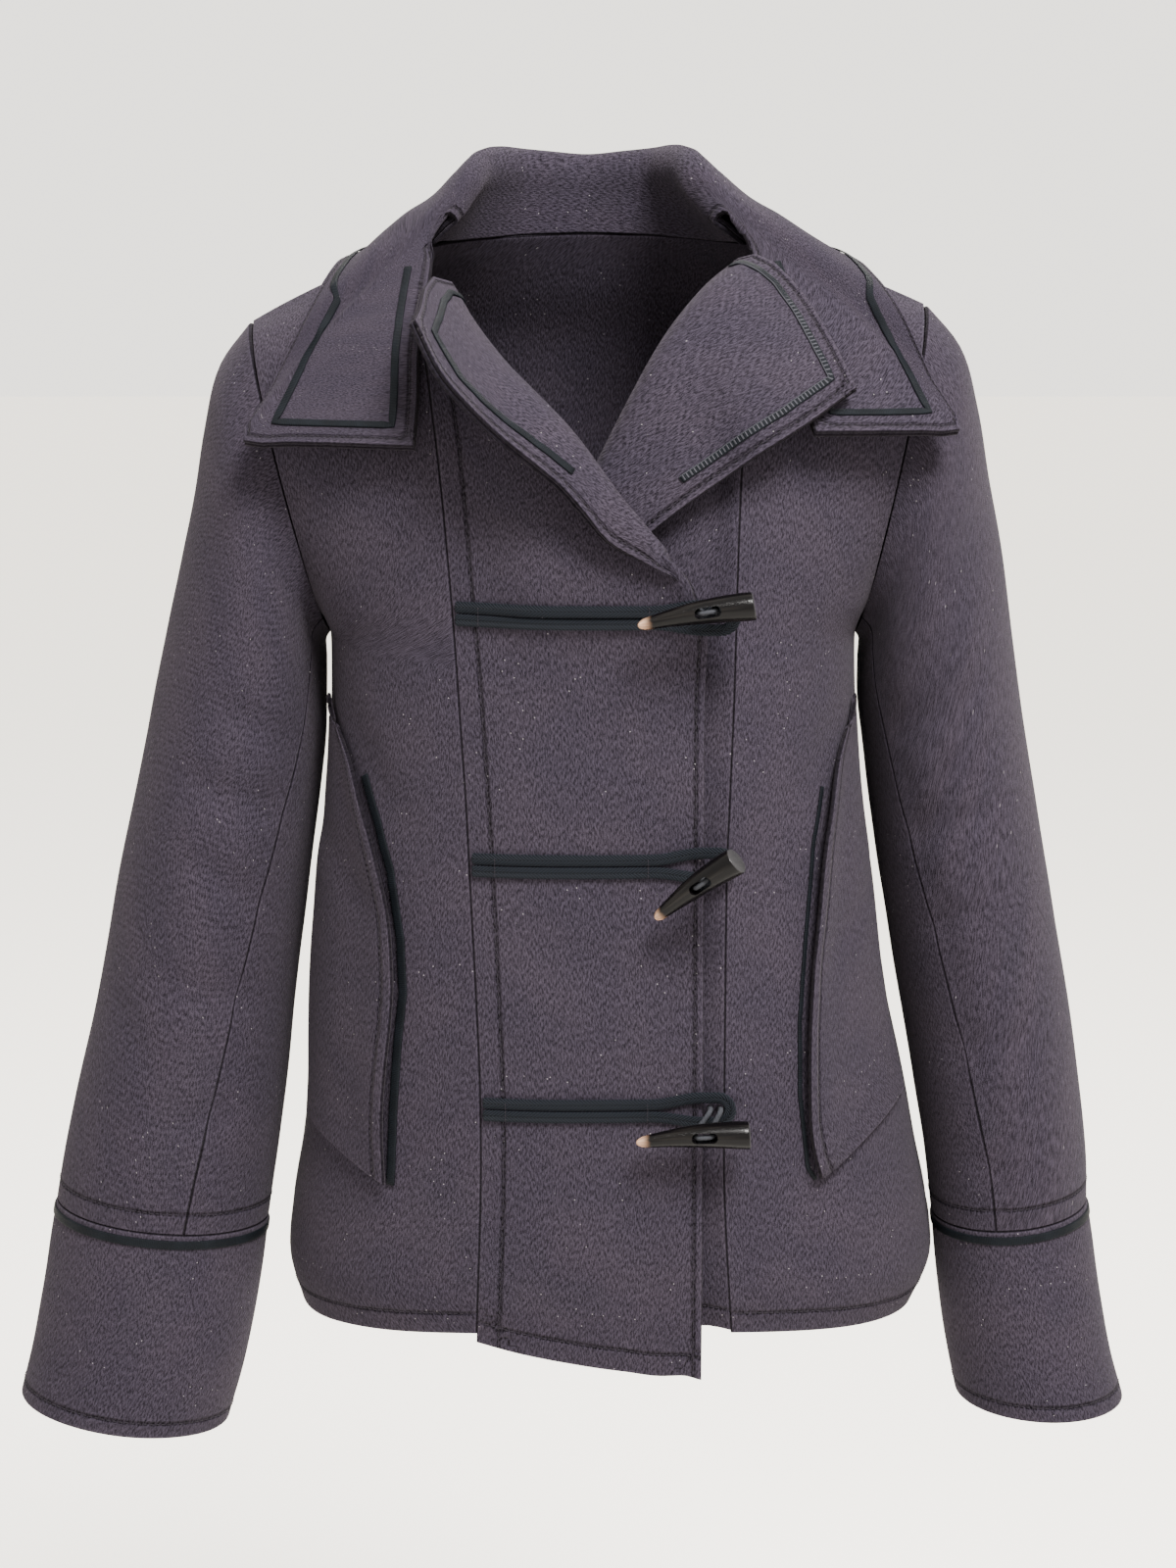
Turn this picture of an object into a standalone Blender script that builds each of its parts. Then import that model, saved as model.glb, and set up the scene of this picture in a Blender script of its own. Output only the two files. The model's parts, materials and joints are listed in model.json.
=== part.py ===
"""A short wool toggle jacket, hollow and open, in the form that it has when it is worn.

Metres, +Z up. The front faces -Y and the wearer's right is at -X. The origin lies between the
shoulders, level with the points where the shoulder seams meet the neck.
"""

import itertools
import math
from collections import namedtuple

import bpy
import numpy as np
from mathutils import Vector
from mathutils.bvhtree import BVHTree

MM = 0.001
RIGHT, LEFT = -1, 1

# Cloth and trim
CLOTH = 2.3 * MM
LAYER = 2.0 * MM
SEAM_GAP = 0.3 * MM
LAYER_GAP = 0.7 * MM
RIBBON_WIDE, RIBBON_THICK = 4.0 * MM, 0.8 * MM
RIBBON_INSET = 12 * MM
UNDER_FRONT = 5.4 * MM

# Body: one row for each level from the hem up to just under the arm
Level = namedtuple("Level", "z_mid z_side y_front y_back x_right x_left")
BODY = (
    Level(-0.567, -0.581, -0.120, 0.112, 0.160, 0.181),
    Level(-0.543, -0.549, -0.125, 0.118, 0.167, 0.192),
    Level(-0.505, -0.508, -0.127, 0.121, 0.161, 0.185),
    Level(-0.455, -0.457, -0.126, 0.120, 0.154, 0.175),
    Level(-0.400, -0.400, -0.124, 0.117, 0.153, 0.1625),
    Level(-0.340, -0.340, -0.122, 0.114, 0.1480, 0.1550),
    Level(-0.280, -0.278, -0.121, 0.113, 0.1410, 0.1470),
    Level(-0.238, -0.234, -0.120, 0.113, 0.1390, 0.1440),
)
# Yoke: one row for each angle round the armhole, from the armpit up to the shoulder seam
Yoke = namedtuple("Yoke", "angle z_mid y_front y_back flat")
YOKE = (
    Yoke(180, -0.212, -0.119, 0.113, 0.0),
    Yoke(150, -0.194, -0.1175, 0.113, 0.3),
    Yoke(120, -0.163, -0.114, 0.113, 0.7),
    Yoke(90, -0.121, -0.106, 0.111, 1.0),
    Yoke(60, -0.078, -0.092, 0.104, 1.0),
    Yoke(30, -0.037, -0.064, 0.086, 1.0),
    Yoke(0, 0.010, 0.004, 0.064, 1.0),
)
SECTION_POWER = 2.45
SIDE_Y = 0.004
NECK_HALF, NECK_BACK = 0.078, 0.064

# Armhole and sleeves
Armhole = namedtuple("Armhole", "tip_x tip_z pit_x pit_z front back")
ARMHOLES = {
    RIGHT: Armhole(0.1795, -0.042, 0.1390, -0.207, 0.064, 0.066),
    LEFT: Armhole(0.1800, -0.033, 0.1440, -0.207, 0.064, 0.066),
}
# Sleeve: a ring in each row, through an outer and an inner point; seam is the front seam's angle
Ring = namedtuple("Ring", "out_x out_z in_x in_z y depth seam")
SLEEVES = {
    RIGHT: (
        Ring(0.1960, -0.064, 0.1440, -0.2130, 0.004, 0.069, 150),
        Ring(0.2050, -0.098, 0.1440, -0.2260, 0.003, 0.071, 148),
        Ring(0.2110, -0.132, 0.1440, -0.2430, 0.002, 0.071, 145),
        Ring(0.2200, -0.172, 0.1445, -0.2660, 0.001, 0.070, 141),
        Ring(0.2300, -0.218, 0.1475, -0.2920, -0.001, 0.068, 136),
        Ring(0.2420, -0.275, 0.1525, -0.3260, -0.004, 0.066, 130),
        Ring(0.2545, -0.329, 0.1575, -0.3660, -0.006, 0.064, 124),
        Ring(0.2670, -0.394, 0.1635, -0.4120, -0.008, 0.061, 118),
        Ring(0.2795, -0.450, 0.1695, -0.4650, -0.011, 0.057, 112),
        Ring(0.2910, -0.503, 0.1775, -0.5180, -0.014, 0.053, 108),
        Ring(0.2950, -0.524, 0.1800, -0.5360, -0.015, 0.051, 107),
    ),
    LEFT: (
        Ring(0.1985, -0.055, 0.1490, -0.2130, 0.004, 0.069, 150),
        Ring(0.2080, -0.086, 0.1490, -0.2260, 0.003, 0.071, 148),
        Ring(0.2145, -0.124, 0.1490, -0.2430, 0.002, 0.071, 145),
        Ring(0.2225, -0.165, 0.1515, -0.2660, 0.001, 0.070, 141),
        Ring(0.2290, -0.212, 0.1545, -0.2920, -0.001, 0.068, 136),
        Ring(0.2385, -0.270, 0.1595, -0.3260, -0.004, 0.066, 130),
        Ring(0.2490, -0.326, 0.1655, -0.3620, -0.006, 0.064, 124),
        Ring(0.2600, -0.388, 0.1730, -0.4060, -0.008, 0.061, 118),
        Ring(0.2700, -0.450, 0.1825, -0.4600, -0.011, 0.057, 112),
        Ring(0.2765, -0.503, 0.1905, -0.5120, -0.014, 0.053, 108),
        Ring(0.2770, -0.524, 0.1930, -0.5330, -0.015, 0.051, 107),
    ),
}
BACK_SEAM_ANGLE = 215
# Cuff: its own rings, from its seam down to its hem
Cuff = namedtuple("Cuff", "out_x out_z in_x in_z y depth")
CUFFS = {
    RIGHT: (
        Cuff(0.2951, -0.5241, 0.1799, -0.5361, -0.015, 0.0511),
        Cuff(0.3010, -0.5550, 0.1840, -0.5680, -0.016, 0.0515),
        Cuff(0.3090, -0.6000, 0.1940, -0.6180, -0.018, 0.0510),
        Cuff(0.3180, -0.6370, 0.2040, -0.6540, -0.019, 0.0505),
    ),
    LEFT: (
        Cuff(0.2771, -0.5241, 0.1930, -0.5331, -0.015, 0.0511),
        Cuff(0.2825, -0.5550, 0.1960, -0.5620, -0.016, 0.0515),
        Cuff(0.2910, -0.6060, 0.2020, -0.6050, -0.018, 0.0510),
        Cuff(0.3000, -0.6390, 0.2080, -0.6370, -0.019, 0.0505),
    ),
}

# Fronts: the band seam, and the roll line with the lapel that turns back along it
Seam = namedtuple("Seam", "z x_right x_left")
BAND_SEAM = (
    Seam(-0.600, 0.0600, 0.0780),
    Seam(-0.460, 0.0560, 0.0710),
    Seam(-0.340, 0.0600, 0.0715),
    Seam(-0.220, 0.0665, 0.0750),
    Seam(-0.120, 0.0750, 0.0780),
    Seam(0.020, 0.0960, 0.0960),
)
# Roll line: x at each height, the angle that the cloth turns there, the length of cloth in the
# turn, and the lapel's edge, which stands this far in front of the body
Roll = namedtuple("Roll", "z x turn arc edge_x edge_z stand")
ROLLS = {
    RIGHT: (
        Roll(-0.620, 0.0395, 0, 0.010, 0.0605, -0.620, 0.000),
        Roll(-0.230, 0.0390, 0, 0.010, 0.0600, -0.230, 0.000),
        Roll(-0.192, 0.0400, 10, 0.009, 0.0610, -0.194, 0.001),
        Roll(-0.165, 0.0330, 50, 0.009, 0.0530, -0.168, 0.014),
        Roll(-0.1386, 0.0130, 95, 0.012, 0.0130, -0.1470, 0.028),
        Roll(-0.1045, -0.0130, 105, 0.012, -0.0130, -0.1180, 0.042),
        Roll(-0.0711, -0.0455, 108, 0.012, -0.0490, -0.0880, 0.056),
        Roll(-0.0458, -0.0650, 108, 0.012, -0.0700, -0.0670, 0.064),
        Roll(-0.0360, -0.0715, 108, 0.012, -0.0830, -0.0510, 0.070),
        Roll(-0.0290, -0.0760, 108, 0.012, -0.0890, -0.0360, 0.074),
    ),
    LEFT: (
        Roll(-0.620, -0.0340, 150, 0.013, -0.0100, -0.640, 0.005),
        Roll(-0.170, -0.0240, 150, 0.013, -0.0100, -0.182, 0.005),
        Roll(-0.150, -0.0130, 150, 0.013, 0.0030, -0.165, 0.005),
        Roll(-0.130, 0.0010, 155, 0.013, 0.0200, -0.152, 0.006),
        Roll(-0.1045, 0.0150, 160, 0.014, 0.0358, -0.1386, 0.0075),
        Roll(-0.0821, 0.0275, 160, 0.015, 0.0540, -0.1250, 0.010),
        Roll(-0.0621, 0.0400, 160, 0.018, 0.0751, -0.1112, 0.013),
        Roll(-0.0398, 0.0570, 160, 0.020, 0.0941, -0.1005, 0.014),
        Roll(-0.0285, 0.0700, 160, 0.020, 0.1110, -0.0920, 0.014),
        Roll(-0.0200, 0.0815, 160, 0.021, 0.1296, -0.0795, 0.014),
    ),
}
BAND_TOP_Z = -0.0065
BAND_SHARES = {RIGHT: (0, 0.2, 0.4, 0.6, 0.8, 1), LEFT: (0, 0.05, 0.1, 0.26, 0.6, 1)}
LEFT_BREAK_Z = -0.153
FACING_INSIDE = 2
# The right front bulges over the other lapel, and hangs lower towards its corner
BULGE, BULGE_TOP_Z, BULGE_END_Z = 15.5 * MM, -0.155, -0.225
Drop = namedtuple("Drop", "x drop")
HEM_DROP = (Drop(-0.068, 0.004), Drop(0.000, 0.019), Drop(0.061, 0.027))
HEM_DROP_RUN = 0.10

# Collar: rows from the centre back to the front end of one half
Collar = namedtuple("Collar", "neck_x neck_y neck_z fold_x fold_y fold_z")
COLLAR = (
    Collar(0.000, 0.0645, 0.0050, 0.000, 0.0660, 0.0440),
    Collar(0.032, 0.0600, 0.0050, 0.030, 0.0610, 0.0460),
    Collar(0.056, 0.0450, 0.0050, 0.050, 0.0420, 0.0470),
    Collar(0.072, 0.0230, 0.0040, 0.060, 0.0200, 0.0430),
    Collar(0.079, 0.0020, 0.0028, 0.064, 0.0020, 0.0330),
    Collar(0.0810, -0.0025, 0.0020, 0.0670, -0.0040, 0.0235),
    Collar(0.0835, -0.0085, 0.0007, 0.0722, -0.0105, 0.0150),
)
# How far the fold's inner side lies inside of the fold line, at the same rows
COLLAR_LEAN = {
    RIGHT: (0.000, 0.002, 0.007, 0.008, 0.008, 0.006, 0.004),
    LEFT: (0.000, 0.004, 0.013, 0.016, 0.016, 0.012, 0.007),
}
Edge = namedtuple("Edge", "x y z")
COLLAR_EDGES = {
    RIGHT: (
        Edge(0.0000, 0.1180, -0.0900),
        Edge(0.0640, 0.1130, -0.0900),
        Edge(0.1080, 0.0850, -0.0720),
        Edge(0.1200, 0.0450, -0.0200),
        Edge(0.1360, -0.0300, -0.0280),
        Edge(0.1760, -0.0860, -0.0990),
        Edge(0.0880, -0.1120, -0.0990),
    ),
    LEFT: (
        Edge(0.0000, 0.1180, -0.0900),
        Edge(0.0640, 0.1130, -0.0900),
        Edge(0.1100, 0.0850, -0.0700),
        Edge(0.1300, 0.0450, -0.0180),
        Edge(0.1520, -0.0300, -0.0260),
        Edge(0.1900, -0.0820, -0.0940),
        Edge(0.1150, -0.1080, -0.0920),
    ),
}
COLLAR_ROWS = (0.0, 0.6, 1.2, 1.8, 2.4, 2.9, 3.4, 3.8, 4.2, 4.6, 5.0, 5.25, 5.5, 5.75, 6.0)
LAPEL_RIBBON_END_Z = -0.128
COLLAR_CLEAR = 5 * MM
LAPEL_CLEAR, LAPEL_REST_Z = 3.4 * MM, -0.115
SINK_RUN = 8 * MM

# Pockets: front edge on the panel, from the side seam at the top to the bottom corner
Point = namedtuple("Point", "x z")
POCKET_EDGES = {
    RIGHT: (
        Point(0.1355, -0.240), Point(0.1190, -0.274), Point(0.1110, -0.297), Point(0.1040, -0.321),
        Point(0.0990, -0.357), Point(0.0980, -0.385), Point(0.1010, -0.412), Point(0.1040, -0.450),
        Point(0.1060, -0.490),
    ),
    LEFT: (
        Point(0.1390, -0.240), Point(0.1240, -0.280), Point(0.1190, -0.308), Point(0.1150, -0.357),
        Point(0.1120, -0.402), Point(0.1130, -0.440), Point(0.1180, -0.480), Point(0.1220, -0.487),
    ),
}
POCKET_SIDE_Z = {RIGHT: (-0.236, -0.468), LEFT: (-0.236, -0.455)}
POCKET_SIDE_SHARE = 0.965
POCKET_FLARE, POCKET_GAP = 5 * MM, 1.5 * MM

# Fastening: each row is one strap with its toggle
Toggle = namedtuple("Toggle", "strap_z tip_x tip_z tip_off butt_x butt_z butt_off")
TOGGLES = (
    Toggle(-0.1835, 0.0250, -0.1853, 0.016, 0.0835, -0.1755, 0.0150),
    Toggle(-0.3135, 0.0345, -0.3380, 0.014, 0.0755, -0.3040, 0.0300),
    Toggle(-0.4430, 0.0250, -0.4560, 0.015, 0.0840, -0.4520, 0.0150),
)
LOOP_X, LOOP_RADIUS = 0.0678, 6.6 * MM
LEG_X = (0.0635, 0.0690)
HORN_BOW = 1.5 * MM
HORN_PROFILE = (
    (0.0, 0.0016), (0.05, 0.0026), (0.25, 0.0042), (0.5, 0.0058), (0.75, 0.0068),
    (0.96, 0.0073), (1.0, 0.0069),
)
LANE_WIDE, LANE_THICK, LANE_APART = 6.0 * MM, 2.2 * MM, 6.6 * MM
SLOT_AT, SLOT_LONG, SLOT_WIDE = 0.60, 13.5 * MM, 5.6 * MM
CORD_RADIUS = 1.4 * MM

Finish = namedtuple("Finish", "colour roughness")
WOOL = Finish((0.085, 0.064, 0.082), 0.92)
RIBBON = Finish((0.012, 0.020, 0.034), 0.60)
BRAID = Finish((0.022, 0.028, 0.040), 0.75)
HORN = Finish((0.020, 0.018, 0.017), 0.25)
CORD = Finish((0.180, 0.185, 0.200), 0.80)


def spline(keys, values, at):
    """A smooth curve through a table's values that never overshoots them."""
    keys, values = np.asarray(keys, float), np.asarray(values, float)
    secants = (np.diff(values, axis=0).T / np.diff(keys)).T
    before, after = secants[:-1], secants[1:]
    level = before * after <= 0
    inner = np.where(level, 0, 2 * before * after / np.where(level, 1, before + after))
    slopes = np.concatenate([secants[:1], inner, secants[-1:]])
    at = np.clip(np.asarray(at, float), keys[0], keys[-1])
    i = np.clip(np.searchsorted(keys, at, side="right") - 1, 0, len(keys) - 2)
    step = keys[i + 1] - keys[i]
    t = (at - keys[i]) / step
    rise = (values[i + 1] - values[i]).T
    start, end = slopes[i].T * step, slopes[i + 1].T * step
    blend = rise * (3 * t**2 - 2 * t**3) + start * (t**3 - 2 * t**2 + t) + end * (t**3 - t**2)
    return (values[i].T + blend).T


def table(rows, *names):
    return np.array([[getattr(row, name) for name in names] for row in rows])


def smoothstep(low, high, value):
    t = np.clip((value - low) / (high - low), 0, 1)
    return t * t * (3 - 2 * t)


def unit(vector):
    vector = np.asarray(vector, float)
    return vector / np.maximum(np.linalg.norm(vector, axis=-1, keepdims=True), 1e-12)


def torso_rows(side, back):
    """The middle and the edge of each level of one quarter of the body, hem to shoulder."""
    hole = ARMHOLES[side]
    depth = hole.back if back else -hole.front
    rows = []
    for level in BODY:
        half = level.x_left if side == LEFT else level.x_right
        y_mid = level.y_back if back else level.y_front
        rows.append((y_mid, level.z_mid, half, SIDE_Y, level.z_side, 0.0))
    for yoke in YOKE:
        turn = math.radians(yoke.angle)
        along = (1 + math.cos(turn)) / 2
        half = hole.pit_x + (hole.tip_x - hole.pit_x) * along
        z_edge = hole.pit_z + (hole.tip_z - hole.pit_z) * along
        y_mid = yoke.y_back if back else yoke.y_front
        rows.append((y_mid, yoke.z_mid, half, SIDE_Y + depth * math.sin(turn), z_edge, yoke.flat))
    return np.array(rows)


TORSO = {(side, back): torso_rows(side, back) for side in (RIGHT, LEFT) for back in (False, True)}
TOP = len(BODY) + len(YOKE) - 1
PIT = len(BODY)


def torso(side, back, share, level):
    """The point at a share of the way from the middle to the edge of a level."""
    y_mid, z_mid, half, y_edge, z_edge, flat = spline(range(TOP + 1), TORSO[side, back], level)
    power = 1 / SECTION_POWER + (1 - 1 / SECTION_POWER) * flat
    y = y_edge + (y_mid - y_edge) * max(0.0, 1 - share**SECTION_POWER) ** power
    z = z_edge + (z_mid - z_edge) * (1 - share**2)
    x = share * half
    if back:
        cut = smoothstep(TOP - 1, TOP, level)
        ring = max(0.0, 1 - (x / NECK_HALF) ** 2) ** 0.5
        neck_y = SIDE_Y + (NECK_BACK - SIDE_Y) * ring
        y += cut * (neck_y - y)
        z -= cut * 0.6 * max(0.0, z + 0.001)
    return np.array((side * x, y, z))


def share_at(turn, level, side, back=False):
    """Spaces the points evenly round a section: turn is 0 at its middle and 1 at its edge."""
    flat = spline(range(TOP + 1), TORSO[side, back], level)[5]
    rounded = math.sin(math.pi / 2 * turn) ** (2 / SECTION_POWER)
    return rounded + (turn - rounded) * flat


def turn_at(share, level, side):
    turns = np.linspace(0, 1, 80)
    return float(np.interp(share, [share_at(turn, level, side) for turn in turns], turns))


def level_at(x, z):
    """The level of the front at which it has this height, above this x."""
    side = LEFT if x > 0 else RIGHT
    levels = np.linspace(0, TOP, 240)
    rows = spline(range(TOP + 1), TORSO[side, False], levels)
    share = np.clip(abs(x) / rows[:, 2], 0, 1)
    heights = rows[:, 4] + (rows[:, 1] - rows[:, 4]) * (1 - share**2)
    return float(np.interp(z, heights, levels))


def front_point(x, z):
    side = LEFT if x > 0 else RIGHT
    level = level_at(x, z)
    half = spline(range(TOP + 1), TORSO[side, False], level)[2]
    return torso(side, False, min(1.0, abs(x) / half), level)


def front_normal(x, z, step=3 * MM):
    across = front_point(x + step, z) - front_point(x - step, z)
    up = front_point(x, z + step) - front_point(x, z - step)
    return unit(np.cross(across, up))


def seam_x(side, z):
    column = "x_left" if side == LEFT else "x_right"
    return float(spline(table(BAND_SEAM, "z")[:, 0], table(BAND_SEAM, column)[:, 0], z))


def normals_of(grid, closed=False):
    """Unit normals of a grid of points, rows by columns."""
    if closed:
        across = np.roll(grid, -1, axis=1) - np.roll(grid, 1, axis=1)
    else:
        across = np.gradient(grid, axis=1)
    along = np.gradient(grid, axis=0)
    return unit(np.cross(across, along))


def material(name, finish):
    made = bpy.data.materials.new(name)
    made.use_nodes = True
    shader = made.node_tree.nodes["Principled BSDF"]
    shader.inputs["Base Color"].default_value = (*finish.colour, 1)
    shader.inputs["Roughness"].default_value = finish.roughness
    return made


def add_mesh(name, points, faces, finish):
    """A closed mesh, turned so that its faces point outwards."""
    points = np.asarray(points, float)
    centre = points.mean(axis=0)
    volume = 0.0
    for face in faces:
        first = points[face[0]] - centre
        for second, third in zip(face[1:-1], face[2:]):
            volume += np.dot(first, np.cross(points[second] - centre, points[third] - centre))
    if volume < 0:
        faces = [tuple(reversed(face)) for face in faces]
    mesh = bpy.data.meshes.new(name)
    mesh.from_pydata([tuple(point) for point in points], [], [tuple(face) for face in faces])
    mesh.shade_smooth()
    mesh.set_sharp_from_angle(angle=math.radians(50))
    mesh.materials.append(material(name, finish))
    made = bpy.data.objects.new(name, mesh)
    bpy.context.scene.collection.objects.link(made)
    return made


Cloth = namedtuple("Cloth", "grid normals outer inner whole")


def wall(name, grid, thickness=CLOTH, offset=0.0, closed=False, keep=None, finish=WOOL, normals=None):
    """A wall of cloth about a grid of points. keep says which cells of the grid are cloth."""
    if normals is None:
        normals = normals_of(grid, closed)
    rows, columns = grid.shape[:2]
    outer = (grid + normals * (offset + thickness / 2)).reshape(-1, 3)
    inner = (grid + normals * (offset - thickness / 2)).reshape(-1, 3)
    count = rows * columns
    cells = []
    for row in range(rows - 1):
        for column in range(columns if closed else columns - 1):
            if keep is None or keep(row, column):
                after = (column + 1) % columns
                cells.append((row * columns + column, row * columns + after,
                              (row + 1) * columns + after, (row + 1) * columns + column))
    halves = [half for a, b, c, d in cells for half in ((a, b, c), (a, c, d))]
    faces = halves + [tuple(count + i for i in reversed(half)) for half in halves]
    sides = {(cell[i], cell[(i + 1) % 4]) for cell in cells for i in range(4)}
    for start, end in sides:
        if (end, start) not in sides:
            faces += [(end, start, start + count), (end, start + count, end + count)]
    used = sorted({index for face in faces for index in face})
    place = {index: i for i, index in enumerate(used)}
    points = np.concatenate([outer, inner])[used]
    faces = [tuple(place[i] for i in face) for face in faces]
    add_mesh(name, points, faces, finish)
    whole = BVHTree.FromPolygons([tuple(point) for point in points], faces)
    faces_out, faces_in = (
        BVHTree.FromPolygons([tuple(point) for point in points], halves) for points in (outer, inner)
    )
    return Cloth(grid, normals, faces_out, faces_in, whole)


def front_panel(side):
    """The side front, from the band seam to the side seam and the armhole."""
    levels = np.concatenate([np.linspace(0, PIT, 11), np.linspace(PIT + 0.6, TOP, 9)])
    turns = np.linspace(0, 1, 9)
    grid = []
    for level in levels:
        z = torso(side, False, 0.45, level)[2]
        half = spline(range(TOP + 1), TORSO[side, False], level)[2]
        first = turn_at((seam_x(side, z) + SEAM_GAP) / half, level, side)
        last = 1 - SEAM_GAP
        row = []
        for turn in turns:
            share = share_at(first + (last - first) * turn, level, side)
            row.append(torso(side, False, share, level))
        grid.append(row)
    grid = np.array(grid)
    grid[-1, :, 1] -= SEAM_GAP
    if side == RIGHT:
        grid = grid[:, ::-1]
    normals = normals_of(grid)
    normals[-1, :, 1] = 0
    normals[levels <= PIT, -1 if side == LEFT else 0, 1] = 0
    return wall("front_left" if side == LEFT else "front_right", grid, normals=unit(normals))


def back_panel():
    levels = np.concatenate([np.linspace(0, PIT, 10), np.linspace(PIT + 0.8, TOP, 8)])
    turns = np.linspace(-1, 1, 21) * (1 - SEAM_GAP)
    grid = []
    for level in levels:
        row = []
        for turn in turns:
            side = LEFT if turn > 0 else RIGHT
            row.append(torso(side, True, share_at(abs(turn), level, side, True), level))
        grid.append(row)
    grid = np.array(grid)[:, ::-1]
    grid[-1, :, 1] += SEAM_GAP
    normals = normals_of(grid)
    seam = np.abs(grid[-1, :, 0]) > NECK_HALF
    normals[-1, seam, 1] = 0
    for column in (0, -1):
        normals[levels <= PIT, column, 1] = 0
    return wall("back", grid, normals=unit(normals))


def hem_drop(x, z):
    low = z - BODY[0].z_mid
    return float(spline([row.x for row in HEM_DROP], [row.drop for row in HEM_DROP], x)) * max(
        0.0, 1 - low / HEM_DROP_RUN
    )


def band_lift(side, x, z):
    """How far the band stands in front of the body: over the other lapel, or under the overlap."""
    if side == RIGHT:
        high = smoothstep(BULGE_END_Z, BULGE_TOP_Z, z)
        return BULGE * high * smoothstep(-0.066, -0.015, x)
    start = seam_x(side, z) - 1 * MM
    return -UNDER_FRONT * smoothstep(start, start - SINK_RUN, x) * smoothstep(-0.060, -0.110, z)


def band_point(side, x, z):
    point = front_point(x, z)
    point = point + front_normal(x, z) * band_lift(side, x, z)
    if side == RIGHT:
        point[2] -= hem_drop(x, z)
    return point


def roll_of(side, z):
    keys = [row.z for row in ROLLS[side]]
    return Roll(z, *spline(keys, table(ROLLS[side], *Roll._fields[1:]), z))


def lapel_frame(side, z, span=8 * MM):
    """At the roll line: its point, the way out over it, and the way off the body."""
    top = ROLLS[side][-1].z
    heights = (z, min(z + span, top), min(z, top - span) - span)
    here, above, below = (band_point(side, roll_of(side, height).x, height) for height in heights)
    down = unit(below - above)
    out = front_normal(roll_of(side, z).x, min(z, -0.085))
    out = unit(out - down * np.dot(out, down))
    over = np.cross(down, out)
    return here, over if over[0] * side < 0 else -over, out


def lapel_row(side, z, arc_steps=3, flat_steps=4):
    """From the roll line round the fold and out to the lapel's edge."""
    roll = roll_of(side, z)
    here, over, out = lapel_frame(side, z)
    bend = max(1e-4, math.radians(roll.turn))
    radius = roll.arc / bend
    points = []
    for step in range(1, arc_steps + 1):
        angle = bend * step / arc_steps
        points.append(here + over * radius * math.sin(angle) + out * radius * (1 - math.cos(angle)))
    ahead = over * math.cos(bend) + out * math.sin(bend)
    if roll.turn < 1:
        edge = band_point(side, roll.edge_x, z)
    else:
        lift = max(roll.stand, band_lift(side, roll.edge_x, roll.edge_z))
        edge = front_point(roll.edge_x, roll.edge_z) - np.array((0, lift, 0))
    start, reach = points[-1], np.linalg.norm(edge - points[-1])
    for step in range(1, flat_steps + 1):
        t = step / flat_steps
        leave = ahead * reach * (t**3 - 2 * t**2 + t)
        arrive = (edge - start) * (t**3 - t**2)
        points.append(start + (edge - start) * (3 * t**2 - 2 * t**3) + leave + arrive)
    return points


def band_flat(side):
    """The band from its seam to the roll line, with the height of each row on that line."""
    bottom, top = BODY[0].z_mid - 0.001, ROLLS[side][-1].z
    heights = np.concatenate([np.linspace(bottom, -0.230, 8), np.linspace(-0.207, top, 13)])
    evenly = np.linspace(0, 1, len(BAND_SHARES[side]))
    grid = []
    for z in heights:
        z_start = z + (BAND_TOP_Z - top) * smoothstep(-0.10, top, z)
        start = side * (seam_x(side, z_start) - SEAM_GAP)
        reach = roll_of(side, z).x - start
        shares = evenly + (BAND_SHARES[side] - evenly) * smoothstep(-0.06, -0.12, z)
        grid.append([band_point(side, start + reach * share, z_start + (z - z_start) * share)
                     for share in shares])
    return heights, np.array(grid)


def band_grid(side, under):
    """The band with its lapel: over the fold at the roll line and out to the free edge."""
    heights, flat = band_flat(side)
    grid = np.array([[*row, *lapel_row(side, z)] for z, row in zip(heights, flat)])
    if side == LEFT:
        settle(grid, int(np.sum(heights < LAPEL_REST_Z)), flat.shape[1], under, LAPEL_CLEAR)
    return grid


def bands(under):
    pieces = {}
    for side, word in ((RIGHT, "right"), (LEFT, "left")):
        grid = band_grid(side, under)
        roll = len(BAND_SHARES[side]) - 1
        last_flat = int(np.sum(grid[:, roll, 2] < LEFT_BREAK_Z))
        seam = grid[:, 0].copy()

        def cloth(row, column, side=side, last_flat=last_flat, roll=roll):
            return side == RIGHT or row >= last_flat or column < roll

        if side == LEFT:
            grid = grid[:, ::-1]
            columns = grid.shape[1] - 1
            keep = lambda row, column: cloth(row, columns - 1 - column)
            facing = lambda row, column: row >= last_flat and column < columns - FACING_INSIDE - 1
        else:
            keep = cloth
            facing = lambda row, column: column >= FACING_INSIDE + 1
        normals = normals_of(grid)
        normals[:, -1 if side == LEFT else 0] = [front_normal(x, z) for x, _, z in seam]
        pieces[side] = wall(f"band_{word}", grid, keep=keep, normals=normals)
        behind = -(CLOTH + LAYER) / 2 - LAYER_GAP
        pieces[side, "facing"] = wall(f"facing_{word}", grid, LAYER, behind, keep=facing, normals=normals)
    return pieces


def ring_points(ring, angles):
    """A sleeve's ring: angle 0 is its outer point, 90 its front, 180 its inner point."""
    outer = np.array((ring.out_x, ring.y, ring.out_z))
    inner = np.array((ring.in_x, ring.y, ring.in_z))
    middle, half = (outer + inner) / 2, (outer - inner) / 2
    turn = np.radians(angles)[:, None]
    return middle + half * np.cos(turn) - np.array((0, ring.depth, 0)) * np.sin(turn)


def arm_rings(side):
    hole = ARMHOLES[side]
    start = Ring(hole.tip_x, hole.tip_z, hole.pit_x, hole.pit_z, SIDE_Y, hole.front, 152)
    rows = table((start,) + SLEEVES[side], *Ring._fields)
    return rows


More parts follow.
